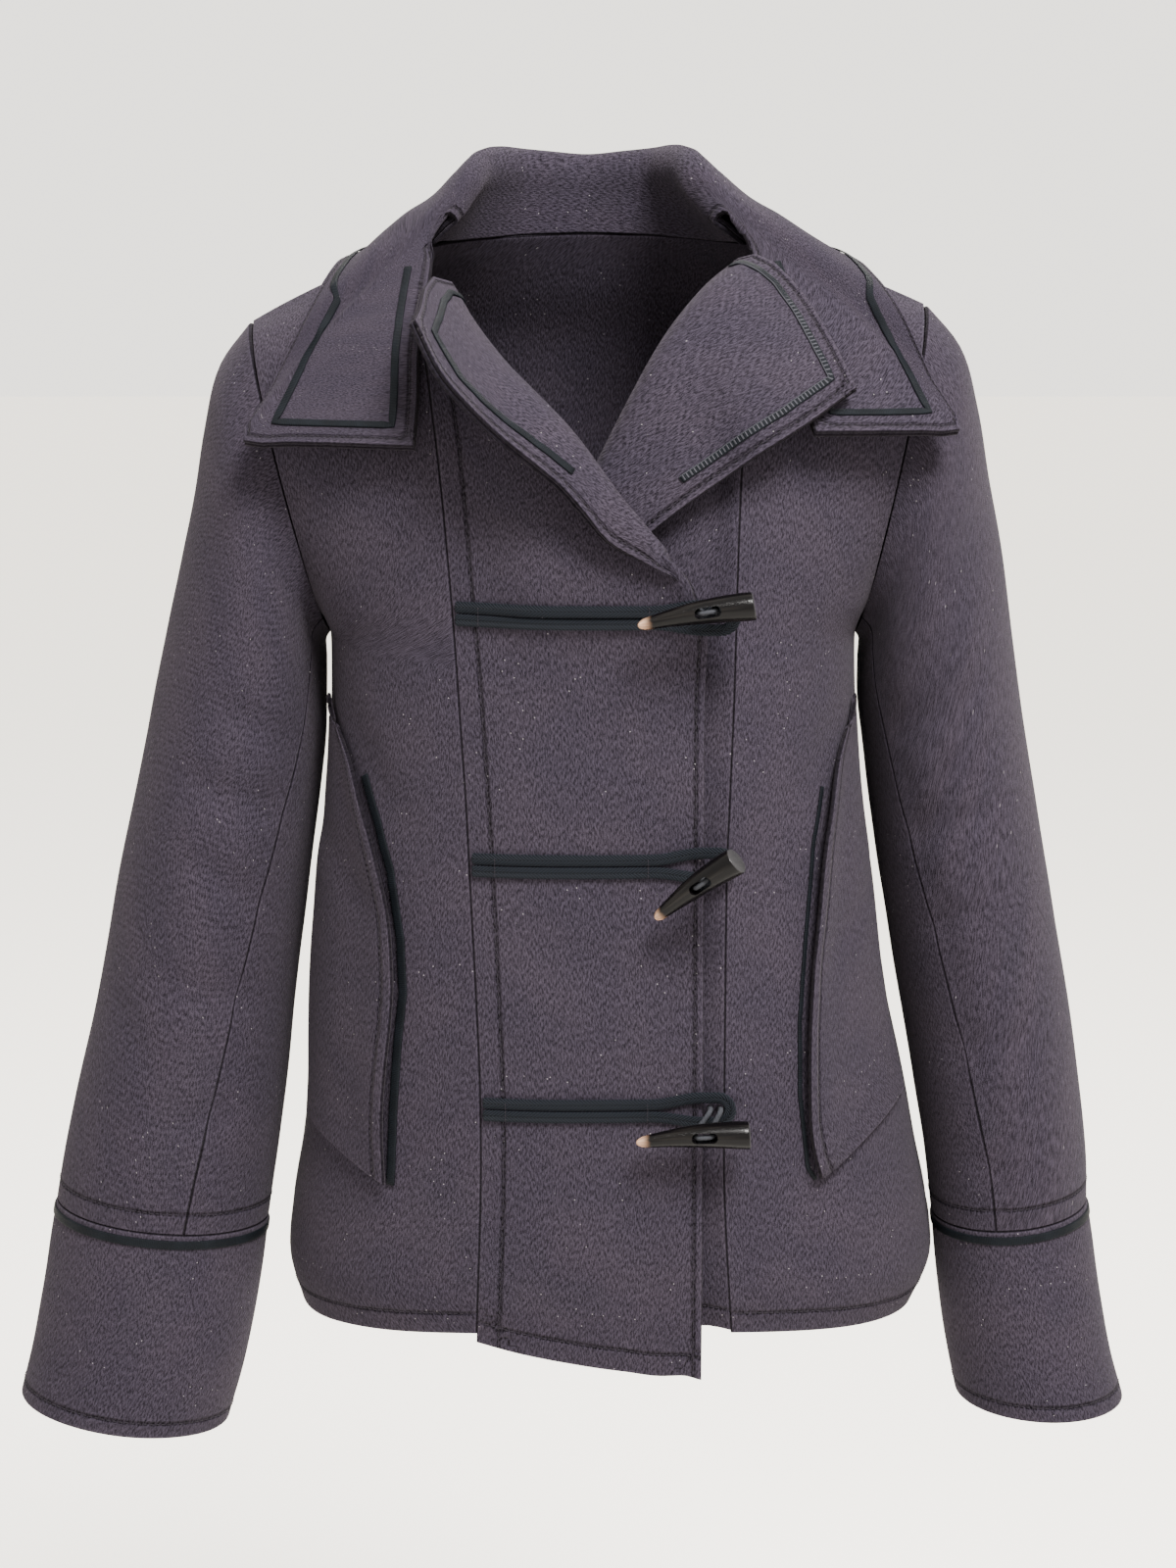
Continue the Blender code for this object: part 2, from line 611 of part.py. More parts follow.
def sleeve(side):
    word = "left" if side == LEFT else "right"
    rows = arm_rings(side)
    hole_x = (ARMHOLES[side].tip_x + ARMHOLES[side].pit_x) / 2
    positions = np.concatenate([[0.03], np.arange(1, len(rows))])
    pieces = {}
    spans = (("upper", BACK_SEAM_ANGLE - 360, None, 13), ("under", None, BACK_SEAM_ANGLE, 8))
    for name, low, high, steps in spans:
        grid = []
        for position in positions:
            ring = Ring(*spline(range(len(rows)), rows, position))
            gap = math.degrees(SEAM_GAP / ring.depth)
            first = low + gap if low is not None else ring.seam + gap
            last = high - gap if high is not None else ring.seam - gap
            points = ring_points(ring, np.linspace(first, last, steps))
            points[:, 0] *= side
            grid.append(points)
        grid = np.array(grid)
        inward = np.clip((hole_x - np.abs(grid[0, :, 0])) / (hole_x - ARMHOLES[side].pit_x), 0, 1)
        grid[0, :, 0] += side * (1.2 + 1.8 * inward) * MM
        if side == RIGHT:
            grid = grid[:, ::-1]
        pieces[name] = wall(f"sleeve_{name}_{word}", grid)
    return pieces


def cuff(side):
    word = "left" if side == LEFT else "right"
    rows = table(CUFFS[side], *Cuff._fields)
    grid = []
    for position in np.linspace(0, len(rows) - 1, 5):
        points = ring_points(Cuff(*spline(range(len(rows)), rows, position)), np.arange(0, 360, 15))
        points[:, 0] *= side
        points[:, 2] -= SEAM_GAP
        grid.append(points)
    grid = np.array(grid)
    if side == RIGHT:
        grid = grid[:, ::-1]
    return wall(f"cuff_{word}", grid, closed=True)


def outward(point):
    """The way out of the body from its middle, through a point on the chest or the shoulders."""
    return unit(point - np.array((point[0] * 0.45, 0.0, -0.16)))


def clearance(point, bodies):
    """How far a point lies outside the bodies, measured along the way out."""
    out = outward(point)
    start, far = point + out * 0.2, 1.0
    for body in bodies:
        hit = body.whole.ray_cast(Vector(start), Vector(-out), 0.35)
        if hit[0] is not None:
            far = min(far, hit[3] - 0.2)
    return far


def raise_clear(point, bodies, clear):
    """Moves a point outwards until it is this far clear of the bodies."""
    return point + outward(point) * max(0.0, clear - clearance(point, bodies))


def settle(grid, first_row, first_column, bodies, clear, rounds=3, spread=0.7):
    """Lifts a grid, from this row and column on, until all of each cell is clear of the bodies."""
    steps = np.linspace(0, 1, 5)
    for _ in range(rounds):
        lift = np.zeros(grid.shape[:2])
        for row in range(first_row, len(grid) - 1):
            for column in range(first_column, grid.shape[1] - 1):
                near, far = grid[row, column:column + 2], grid[row + 1, column:column + 2]
                need = 0.0
                for u, v in itertools.product(steps, steps):
                    low, high = (pair[0] * (1 - u) + pair[1] * u for pair in (near, far))
                    need = max(need, clear - clearance(low * (1 - v) + high * v, bodies))
                cell = lift[row:row + 2, column:column + 2]
                lift[row:row + 2, column:column + 2] = np.maximum(cell, need)
        wide = np.pad(lift, 1) * spread
        lift = np.max([lift, wide[:-2, 1:-1], wide[2:, 1:-1], wide[1:-1, :-2], wide[1:-1, 2:]], axis=0)
        lift[:first_row], lift[:, :first_column] = 0, 0
        for row, column in np.argwhere(lift > 0):
            grid[row, column] += outward(grid[row, column]) * lift[row, column]


def bare(grid):
    """A grid as a body with no thickness, for other cloth to lie over."""
    rows, columns = grid.shape[:2]
    faces = [(row * columns + column, row * columns + column + 1, (row + 1) * columns + column + 1,
              (row + 1) * columns + column) for row in range(rows - 1) for column in range(columns - 1)]
    tree = BVHTree.FromPolygons([tuple(point) for point in grid.reshape(-1, 3)], faces)
    return Cloth(grid, None, tree, tree, tree)


def collar_grid(bodies):
    rows = []
    for side in (RIGHT, LEFT):
        half = []
        keys = range(len(COLLAR))
        for at in COLLAR_ROWS:
            base = Collar(*spline(keys, table(COLLAR, *Collar._fields), at))
            edge = spline(keys, table(COLLAR_EDGES[side], "x", "y", "z"), at)
            if at > 5:
                share = at - 5
                ends = table(COLLAR_EDGES[side], "x", "y", "z")[5:]
                edge = ends[0] + (ends[1] - ends[0]) * share
            mirror = np.array((side, 1, 1))
            neck = np.array(base[:3]) * mirror
            fold = np.array(base[3:]) * mirror
            edge = edge * mirror
            out = edge - fold
            out[2] = 0
            sideways = unit(np.array((side, -0.45, 0)))
            out = unit(unit(out) + (sideways - unit(out)) * smoothstep(4.5, 5.5, at))
            away = fold + out * 9 * MM - np.array((0, 0, 6 * MM))
            lean = float(spline(keys, COLLAR_LEAN[side], at))
            inner = fold - out * lean
            top = fold + out * (3.5 * MM - lean / 2) + np.array((0, 0, lean * 0.2))
            row = [neck, neck + (inner - neck) * 0.5, neck + (inner - neck) * 0.85, top]
            row.append(away)
            for share in (0.2, 0.4, 0.6, 0.8, 1.0):
                row.append(raise_clear(away + (edge - away) * share, bodies, COLLAR_CLEAR))
            half.append(row)
        rows.append(half[::-1] if side == LEFT else half[1:])
    grid = np.array(rows[1] + rows[0])
    settle(grid, 0, 5, bodies, COLLAR_CLEAR)
    return grid


def collar(bodies):
    grid = collar_grid(bodies)
    shift = (LAYER + LAYER_GAP) / 2
    under = wall("under_collar", grid, LAYER, -shift)
    return under, wall("upper_collar", grid, LAYER, shift)


def surface(bodies, point):
    """The nearest place on the bodies' outer faces, and the way out of them there."""
    found = []
    for body in bodies:
        place, normal, _, distance = body.find_nearest(Vector(point))
        if place is not None:
            found.append((distance, np.array(place), np.array(normal)))
    _, place, normal = min(found, key=lambda item: item[0])
    return place, normal


def box_strip(name, corners, closed=False, finish=RIBBON):
    """A strip with the same few corners at each step along it."""
    steps, sides = len(corners), len(corners[0])
    faces = []
    for step in range(steps if closed else steps - 1):
        after = (step + 1) % steps
        for i in range(sides):
            j = (i + 1) % sides
            a, b, c, d = step * sides + i, step * sides + j, after * sides + j, after * sides + i
            faces += [(a, b, c), (a, c, d)]
    if not closed:
        faces.append(tuple(range(sides - 1, -1, -1)))
        faces.append(tuple((steps - 1) * sides + i for i in range(sides)))
    add_mesh(name, np.array(corners).reshape(-1, 3), faces, finish)


def inset(edge, outs, distance):
    """A path this far inside an edge, mitred at its corners."""
    edge = np.asarray(edge)
    ahead = unit(np.diff(edge, axis=0))
    ahead = np.concatenate([ahead[:1], ahead, ahead[-1:]])
    path = []
    for i, (point, out) in enumerate(zip(edge, outs)):
        first, second = (unit(np.cross(out, ahead[j])) for j in (i, i + 1))
        middle = unit(first + second)
        path.append(point + middle * distance / max(0.5, float(np.dot(middle, first))))
    return np.array(path)


def even(path, step):
    """The same path with points this far apart, and its corners kept."""
    points = [path[0]]
    for start, end in zip(path[:-1], path[1:]):
        count = max(1, round(np.linalg.norm(end - start) / step))
        points += [start + (end - start) * i / count for i in range(1, count + 1)]
    return np.array(points)


def ribbon(name, path, outs, bodies, wide=RIBBON_WIDE, thick=RIBBON_THICK, gap=0.7 * MM):
    """A flat strip laid along a path on the bodies' outer faces."""
    ahead = unit(np.gradient(path, axis=0))
    edges, leans = np.zeros((2, len(path), 3)), np.zeros((2, len(path), 3))
    for step, (point, way, out) in enumerate(zip(path, ahead, outs)):
        place, normal = surface(bodies, point)
        normal = normal if np.dot(normal, out) > 0 else -normal
        across = unit(np.cross(normal, way)) * wide / 2
        for i, side in enumerate((-1, 1)):
            foot, lean = surface(bodies, place + across * side)
            lean = lean if np.dot(lean, out) > 0 else -lean
            edges[i, step], leans[i, step] = foot + lean * gap, lean
    for _ in range(3):
        lift = np.zeros(len(path))
        for step in range(len(path) - 1):
            for share, across in itertools.product((0.0, 0.25, 0.5, 0.75, 1.0), (0, 0.5, 1)):
                near, far = (edges[0, i] * (1 - across) + edges[1, i] * across for i in (step, step + 1))
                point = near * (1 - share) + far * share
                place, lean = surface(bodies, point)
                lean = lean if np.dot(lean, leans[0, step]) > 0 else -lean
                need = gap * 0.8 - np.dot(point - place, lean)
                lift[step:step + 2] = np.maximum(lift[step:step + 2], need)
        edges += leans * lift[:, None]
    tops = edges + leans * thick
    box_strip(name, list(zip(edges[0], edges[1], tops[1], tops[0])))


def collar_ribbon(upper):
    """Up one front end of the collar, round its whole edge, and down the other front end."""
    grid, normals = upper.grid, upper.normals
    last = len(grid) - 1
    rows = [(0, j) for j in (-5, -4, -3, -2)] + [(i, -1) for i in range(last + 1)]
    rows += [(last, j) for j in (-2, -3, -4, -5)]
    edge, outs = ([values[place] for place in rows] for values in (grid, normals))
    path = even(inset(edge, outs, RIBBON_INSET), 10 * MM)
    ribbon("collar_ribbon", path, [outward(point) for point in path], [upper.outer],
           gap=0.9 * MM)


def lapel_ribbon(side, facing):
    """Along the lapel's top edge from the roll line, then down its free edge."""
    grid, normals = facing.grid, -facing.normals
    columns = range(7, grid.shape[1]) if side == RIGHT else range(grid.shape[1] - 8, -1, -1)
    last = -1 if side == RIGHT else 0
    rows = [i for i in range(len(grid) - 2, 0, -1) if grid[i, last, 2] > LAPEL_RIBBON_END_Z]
    edge = [grid[-1, j] for j in columns] + [grid[i, last] for i in rows]
    outs = [normals[-1, j] for j in columns] + [normals[i, last] for i in rows]
    path = even(inset(edge, outs, -RIBBON_INSET * side), 9 * MM)
    spread = np.linspace(0, len(outs) - 1, len(path)).astype(int)
    word = "left" if side == LEFT else "right"
    ribbon(f"lapel_ribbon_{word}", path, np.array(outs)[spread], [facing.inner])


def cuff_ribbon(side):
    word = "left" if side == LEFT else "right"
    rows = table(CUFFS[side], *Cuff._fields)
    grid = []
    for position in (0.10, 0.26):
        points = ring_points(Cuff(*spline(range(len(rows)), rows, position)), np.arange(0, 360, 15))
        points[:, 0] *= side
        grid.append(points)
    grid = np.array(grid)
    if side == RIGHT:
        grid = grid[:, ::-1]
    lift = CLOTH / 2 + SEAM_GAP + RIBBON_THICK / 2
    wall(f"cuff_ribbon_{word}", grid, RIBBON_THICK, lift, closed=True, finish=RIBBON)


def pocket(side, front):
    word = "left" if side == LEFT else "right"
    edge = table(POCKET_EDGES[side], "x", "z")
    top, bottom = POCKET_SIDE_Z[side]
    grid = []
    for share in np.linspace(0, 1, 11):
        x_edge, z_edge = spline(range(len(edge)), edge, share * (len(edge) - 1))
        z_side = top + (bottom - top) * share
        half = spline(range(TOP + 1), TORSO[side, False], level_at(side * x_edge, z_side))[2]
        x_side = half * POCKET_SIDE_SHARE
        row = []
        for across in np.linspace(0, 1, 7):
            x = x_edge + (x_side - x_edge) * across
            z = z_edge + (z_side - z_edge) * across
            flare = POCKET_FLARE * (1 - smoothstep(0, 0.5, across)) * smoothstep(0, 0.2, share)
            flare *= 1 - smoothstep(0.9, 1.0, share) * 0.8
            lift = CLOTH + POCKET_GAP + flare
            row.append(front_point(side * x, z) + front_normal(side * x, z) * lift)
        grid.append(row)
    grid = np.array(grid)[::-1]
    wall(f"pocket_{word}", grid if side == LEFT else grid[:, ::-1])
    path = [front_point(side * (x - 1.5 * MM), z) for x, z in edge[1:]]
    path = even(np.array(path), 14 * MM)
    outs = [front_normal(point[0], point[2]) for point in path]
    ribbon(f"pocket_trim_{word}", path, outs, [front.outer], wide=5 * MM)


def sweep(name, path, ups, wide, thick, finish, sides=6):
    """A cord of oval section along a path; ups are the directions of its thickness."""
    ahead = unit(np.gradient(path, axis=0))
    corners = []
    for point, way, up in zip(path, ahead, ups):
        across = unit(np.cross(way, up))
        up = np.cross(across, way)
        turns = [2 * math.pi * i / sides for i in range(sides)]
        corners.append([point + across * wide / 2 * math.cos(turn) + up * thick / 2 * math.sin(turn)
                        for turn in turns])
    box_strip(name, corners, finish=finish)


def ahead_of(body, x, z):
    """The first place on a body straight behind a point in front of it."""
    place = body.outer.ray_cast(Vector((x, -0.4, z)), Vector((0, 1, 0)), 0.6)[0]
    return place.y


def strap(number, row, band):
    """A braid cord laid double from the band seam, its loop round the toggle's cord."""
    start = -(seam_x(RIGHT, row.strap_z) - 1 * MM)
    flat_end, loop_at = 0.0330, LOOP_X
    lane = []
    for x in np.linspace(start, loop_at, 13):
        half = LANE_APART / 2 + (LOOP_RADIUS - LANE_APART / 2) * smoothstep(flat_end, loop_at - 8 * MM, x)
        lane.append((x, half))
    turn = [(loop_at + LOOP_RADIUS * math.sin(math.radians(a)), LOOP_RADIUS * math.cos(math.radians(a)))
            for a in (30, 60, 90)]
    upper = lane + turn
    outline = upper + [(x, -half) for x, half in upper[-2::-1]]
    rest = 1.0 * MM + LANE_THICK / 2
    path = []
    for x, half in outline:
        z = row.strap_z + half
        path.append((x, ahead_of(band, min(x, 0.052), z) - rest, z))
    sweep(f"strap_{number}", np.array(path), [(0, -1, 0)] * len(path), LANE_WIDE, LANE_THICK, BRAID)


def toggle(number, row, band, under):
    middle = ahead_of(band, 0.030, row.strap_z)
    tip = np.array((row.tip_x, middle - row.tip_off, row.tip_z))
    butt = np.array((row.butt_x, middle - row.butt_off, row.butt_z))
    axis = unit(butt - tip)
    length = np.linalg.norm(butt - tip)
    up = unit(np.array((0, -1.0, 0)) - axis * np.dot((0, -1.0, 0), axis))
    across = np.cross(axis, up)
    corners, sides = [], 12
    for along, radius in HORN_PROFILE:
        bow = HORN_BOW * math.sin(math.pi * along)
        centre = tip + axis * length * along - across * bow
        corners.append([centre + (across * math.cos(turn) + up * math.sin(turn)) * radius
                        for turn in np.arange(sides) * 2 * math.pi / sides])
    name = f"toggle_{number}"
    box_strip(name, corners, finish=HORN)
    centre = tip + axis * length * SLOT_AT - across * HORN_BOW * math.sin(math.pi * SLOT_AT)
    cut, ends = [], []
    for turn in np.arange(16) * 2 * math.pi / 16:
        run = math.copysign(SLOT_LONG / 2 - SLOT_WIDE / 2, math.cos(turn))
        ends.append(axis * (run + SLOT_WIDE / 2 * math.cos(turn)) + across * SLOT_WIDE / 2 * math.sin(turn))
    for depth in (-0.012, 0.012):
        cut.append([centre + up * depth + end for end in ends])
    box_strip(f"slot_{number}", cut, finish=HORN)
    cutter = bpy.data.objects[f"slot_{number}"]
    cutter.hide_render = True
    cutter.display_type = "WIRE"
    slot = bpy.data.objects[name].modifiers.new("Slot", "BOOLEAN")
    slot.operation, slot.object = "DIFFERENCE", cutter
    reach = SLOT_LONG / 2 - CORD_RADIUS - 0.5 * MM
    front = centre + up * 3.0 * MM
    legs = []
    for sign, x in ((-1, LEG_X[0]), (1, LEG_X[1])):
        z = centre[2] + (row.strap_z - centre[2]) * 0.7
        foot = ahead_of(under, x, row.strap_z) - 1.6 * MM
        low = np.array((x, foot, row.strap_z))
        collar_point = np.array((x, middle - 2.6 * MM, row.strap_z))
        back = centre - up * 8.5 * MM + axis * sign * reach * 0.8
        hole = axis * sign * reach
        legs.append([low, collar_point, back, centre + hole, front + hole * 0.7])
    route = legs[0] + [front + up * 0.8 * MM] + legs[1][::-1]
    route = np.array(route)
    path = smooth_route(route, 24)
    sweep(f"toggle_cord_{number}", path, frame_along(path), 2 * CORD_RADIUS, 2 * CORD_RADIUS, CORD)


def smooth_route(route, count):
    """Evenly spaced points on a curve through a few chosen points."""
    gaps = np.linalg.norm(np.diff(route, axis=0), axis=1)
    keys = np.concatenate([[0], np.cumsum(np.sqrt(gaps))])
    slopes = np.gradient(route, keys, axis=0)
    at = np.linspace(0, keys[-1], count)
    i = np.clip(np.searchsorted(keys, at, side="right") - 1, 0, len(keys) - 2)
    step = (keys[i + 1] - keys[i])[:, None]
    t = (at - keys[i])[:, None] / step
    rise = route[i + 1] - route[i]
    curve = route[i] + rise * (3 * t**2 - 2 * t**3)
    return curve + slopes[i] * step * (t**3 - 2 * t**2 + t) + slopes[i + 1] * step * (t**3 - t**2)


def frame_along(path):
    """A side direction for each point, carried along the path without twist."""
    ahead = unit(np.gradient(path, axis=0))
    up = unit(np.cross(ahead[0], (1.0, 0.3, 0.2)))
    ups = []
    for way in ahead:
        up = unit(up - way * np.dot(up, way))
        ups.append(up)
    return ups


def build():
    for obj in list(bpy.data.objects):
        bpy.data.objects.remove(obj, do_unlink=True)
    back = back_panel()
    fronts = {side: front_panel(side) for side in (RIGHT, LEFT)}
    sleeves = {side: sleeve(side) for side in (RIGHT, LEFT)}
    bodies = [back, *fronts.values()]
    for pieces in sleeves.values():
        bodies += pieces.values()
    chest = [bare(band_flat(side)[1]) for side in (RIGHT, LEFT)]
    under, upper = collar(bodies + chest)
    band = bands([*fronts.values(), *chest, under, upper])
    collar_ribbon(upper)
    for side in (RIGHT, LEFT):
        cuff(side)
        cuff_ribbon(side)
        lapel_ribbon(side, band[side, "facing"])
        pocket(side, fronts[side])
    for number, row in enumerate(TOGGLES, 1):
        strap(number, row, band[RIGHT])
        toggle(number, row, band[RIGHT], band[LEFT])


build()
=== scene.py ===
"""The short wool toggle jacket in full detail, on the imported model's frame.

Metres, +Z up. The front faces -Y and the wearer's right is at -X. The cloth is laid on the same
grids as the solids, made finer, and given its thickness, rounded edges, folds, stitching and trims.
"""

import itertools
import json
import math
from collections import namedtuple

import bpy
import numpy as np
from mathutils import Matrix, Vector, noise
from mathutils.bvhtree import BVHTree

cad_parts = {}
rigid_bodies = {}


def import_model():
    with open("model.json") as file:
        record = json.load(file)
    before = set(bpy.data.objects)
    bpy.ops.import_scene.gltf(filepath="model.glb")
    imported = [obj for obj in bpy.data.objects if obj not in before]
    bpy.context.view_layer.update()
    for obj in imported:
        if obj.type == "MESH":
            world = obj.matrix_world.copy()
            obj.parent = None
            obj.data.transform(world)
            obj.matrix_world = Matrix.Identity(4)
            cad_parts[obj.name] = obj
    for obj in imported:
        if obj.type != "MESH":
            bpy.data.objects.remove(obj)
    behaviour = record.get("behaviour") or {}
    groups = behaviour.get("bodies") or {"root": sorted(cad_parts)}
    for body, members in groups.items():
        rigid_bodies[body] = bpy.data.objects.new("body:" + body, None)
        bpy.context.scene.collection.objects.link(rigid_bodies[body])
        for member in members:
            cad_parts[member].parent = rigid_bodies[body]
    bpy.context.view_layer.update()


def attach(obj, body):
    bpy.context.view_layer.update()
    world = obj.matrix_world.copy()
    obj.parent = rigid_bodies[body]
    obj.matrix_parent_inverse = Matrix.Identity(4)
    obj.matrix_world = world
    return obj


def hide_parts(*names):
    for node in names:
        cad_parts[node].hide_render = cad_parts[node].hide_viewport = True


for default in list(bpy.data.objects):
    bpy.data.objects.remove(default, do_unlink=True)
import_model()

MM = 0.001
RIGHT, LEFT = -1, 1
WORDS = {RIGHT: "right", LEFT: "left"}
# Cloth and trim
CLOTH = 2.3 * MM
LAYER = 2.0 * MM
SEAM_GAP = 0.05 * MM
LAYER_GAP = 0.7 * MM
RIBBON_WIDE, RIBBON_THICK = 4.0 * MM, 0.8 * MM
RIBBON_INSET = 12 * MM
UNDER_FRONT = 5.4 * MM
# Body: one row for each level from the hem up to just under the arm
Level = namedtuple("Level", "z_mid z_side y_front y_back x_right x_left")
BODY = (
    Level(-0.567, -0.581, -0.120, 0.112, 0.160, 0.181),
    Level(-0.543, -0.549, -0.125, 0.118, 0.167, 0.192),
    Level(-0.505, -0.508, -0.127, 0.121, 0.161, 0.185),
    Level(-0.455, -0.457, -0.126, 0.120, 0.154, 0.175),
    Level(-0.400, -0.400, -0.124, 0.117, 0.153, 0.1625),
    Level(-0.340, -0.340, -0.122, 0.114, 0.1480, 0.1550),
    Level(-0.280, -0.278, -0.121, 0.113, 0.1410, 0.1470),
    Level(-0.238, -0.234, -0.120, 0.113, 0.1390, 0.1440),
)
# Yoke: one row for each angle round the armhole, from the armpit up to the shoulder seam
Yoke = namedtuple("Yoke", "angle z_mid y_front y_back flat")
YOKE = (
    Yoke(180, -0.212, -0.119, 0.113, 0.0),
    Yoke(150, -0.194, -0.1175, 0.113, 0.3),
    Yoke(120, -0.163, -0.114, 0.113, 0.7),
    Yoke(90, -0.121, -0.106, 0.111, 1.0),
    Yoke(60, -0.078, -0.092, 0.104, 1.0),
    Yoke(30, -0.037, -0.064, 0.086, 1.0),
    Yoke(0, 0.010, 0.004, 0.064, 1.0),
)
SECTION_POWER = 2.45
SIDE_Y = 0.004
NECK_HALF, NECK_BACK = 0.078, 0.064
# Armhole and sleeves
Armhole = namedtuple("Armhole", "tip_x tip_z pit_x pit_z front back")
ARMHOLES = {
    RIGHT: Armhole(0.1795, -0.042, 0.1390, -0.207, 0.064, 0.066),
    LEFT: Armhole(0.1800, -0.033, 0.1440, -0.207, 0.064, 0.066),
}
# Sleeve: a ring in each row, through an outer and an inner point; seam is the front seam's angle.
# In the table its y, depth and seam come first, then the two points of the right and of the left
Ring = namedtuple("Ring", "out_x out_z in_x in_z y depth seam")
SLEEVE_ROWS = (
    (0.004, 0.069, 150, 0.1960, -0.064, 0.1440, -0.2130, 0.1985, -0.055, 0.1490, -0.2130),
    (0.003, 0.071, 148, 0.2050, -0.098, 0.1440, -0.2260, 0.2080, -0.086, 0.1490, -0.2260),
    (0.002, 0.071, 145, 0.2110, -0.132, 0.1440, -0.2430, 0.2145, -0.124, 0.1490, -0.2430),
    (0.001, 0.070, 141, 0.2200, -0.172, 0.1445, -0.2660, 0.2225, -0.165, 0.1515, -0.2660),
    (-0.001, 0.068, 136, 0.2300, -0.218, 0.1475, -0.2920, 0.2290, -0.212, 0.1545, -0.2920),
    (-0.004, 0.066, 130, 0.2420, -0.275, 0.1525, -0.3260, 0.2385, -0.270, 0.1595, -0.3260),
    (-0.006, 0.064, 124, 0.2545, -0.329, 0.1575, -0.3660, 0.2490, -0.326, 0.1655, -0.3620),
    (-0.008, 0.061, 118, 0.2670, -0.394, 0.1635, -0.4120, 0.2600, -0.388, 0.1730, -0.4060),
    (-0.011, 0.057, 112, 0.2795, -0.450, 0.1695, -0.4650, 0.2700, -0.450, 0.1825, -0.4600),
    (-0.014, 0.053, 108, 0.2910, -0.503, 0.1775, -0.5180, 0.2765, -0.503, 0.1905, -0.5120),
    (-0.015, 0.051, 107, 0.2950, -0.524, 0.1800, -0.5360, 0.2770, -0.524, 0.1930, -0.5330),
)
SLEEVES = {side: tuple(Ring(*row[first:first + 4], *row[:3]) for row in SLEEVE_ROWS)
           for side, first in ((RIGHT, 3), (LEFT, 7))}
BACK_SEAM_ANGLE = 215
# The sleeve's head lies this far from the armhole, and this much more towards the armpit
HOLE_GAP, PIT_GAP = 0.35 * MM, 0.9 * MM
# Cuff: its own rings, from its seam down to its hem
Cuff = namedtuple("Cuff", "out_x out_z in_x in_z y depth")
CUFFS = {
    RIGHT: (
        Cuff(0.2951, -0.5241, 0.1799, -0.5361, -0.015, 0.0511),
        Cuff(0.3010, -0.5550, 0.1840, -0.5680, -0.016, 0.0515),
        Cuff(0.3090, -0.6000, 0.1940, -0.6180, -0.018, 0.0510),
        Cuff(0.3180, -0.6370, 0.2040, -0.6540, -0.019, 0.0505),
    ),
    LEFT: (
        Cuff(0.2771, -0.5241, 0.1930, -0.5331, -0.015, 0.0511),
        Cuff(0.2825, -0.5550, 0.1960, -0.5620, -0.016, 0.0515),
        Cuff(0.2910, -0.6060, 0.2020, -0.6050, -0.018, 0.0510),
        Cuff(0.3000, -0.6390, 0.2080, -0.6370, -0.019, 0.0505),
    ),
}
# Fronts: the band seam, and the roll line with the lapel that turns back along it
Seam = namedtuple("Seam", "z x_right x_left")
BAND_SEAM = (
    Seam(-0.600, 0.0600, 0.0780),
    Seam(-0.460, 0.0560, 0.0710),
    Seam(-0.340, 0.0600, 0.0715),
    Seam(-0.220, 0.0665, 0.0750),
    Seam(-0.120, 0.0750, 0.0780),
    Seam(0.020, 0.0960, 0.0960),
)
# Roll line: x at each height, the angle that the cloth turns there, the length of cloth in the
# turn, and the lapel's edge, which stands this far in front of the body
Roll = namedtuple("Roll", "z x turn arc edge_x edge_z stand")
ROLLS = {
    RIGHT: (
        Roll(-0.620, 0.0395, 0, 0.010, 0.0605, -0.620, 0.000),
        Roll(-0.230, 0.0390, 0, 0.010, 0.0600, -0.230, 0.000),
        Roll(-0.192, 0.0400, 10, 0.009, 0.0610, -0.194, 0.001),
        Roll(-0.165, 0.0330, 50, 0.009, 0.0530, -0.168, 0.014),
        Roll(-0.1386, 0.0130, 95, 0.012, 0.0130, -0.1470, 0.028),
        Roll(-0.1045, -0.0130, 105, 0.012, -0.0130, -0.1180, 0.042),
        Roll(-0.0711, -0.0455, 108, 0.012, -0.0490, -0.0880, 0.056),
        Roll(-0.0458, -0.0650, 108, 0.012, -0.0700, -0.0670, 0.064),
        Roll(-0.0360, -0.0715, 108, 0.012, -0.0830, -0.0510, 0.070),
        Roll(-0.0290, -0.0760, 108, 0.012, -0.0890, -0.0360, 0.074),
    ),
    LEFT: (
        Roll(-0.620, -0.0340, 150, 0.013, -0.0100, -0.640, 0.005),
        Roll(-0.170, -0.0240, 150, 0.013, -0.0100, -0.182, 0.005),
        Roll(-0.150, -0.0130, 150, 0.013, 0.0030, -0.165, 0.005),
        Roll(-0.130, 0.0010, 155, 0.013, 0.0200, -0.152, 0.006),
        Roll(-0.1045, 0.0150, 160, 0.014, 0.0358, -0.1386, 0.0075),
        Roll(-0.0821, 0.0275, 160, 0.015, 0.0540, -0.1250, 0.010),
        Roll(-0.0621, 0.0400, 160, 0.018, 0.0751, -0.1112, 0.013),
        Roll(-0.0398, 0.0570, 160, 0.020, 0.0941, -0.1005, 0.014),
        Roll(-0.0285, 0.0700, 160, 0.020, 0.1110, -0.0920, 0.014),
        Roll(-0.0200, 0.0815, 160, 0.021, 0.1296, -0.0795, 0.014),
    ),
}
BAND_TOP_Z = -0.0065
BAND_SHARES = {RIGHT: (0, 0.2, 0.4, 0.6, 0.8, 1), LEFT: (0, 0.05, 0.1, 0.26, 0.6, 1)}
LEFT_BREAK_Z = -0.153
FACING_INSIDE = 2
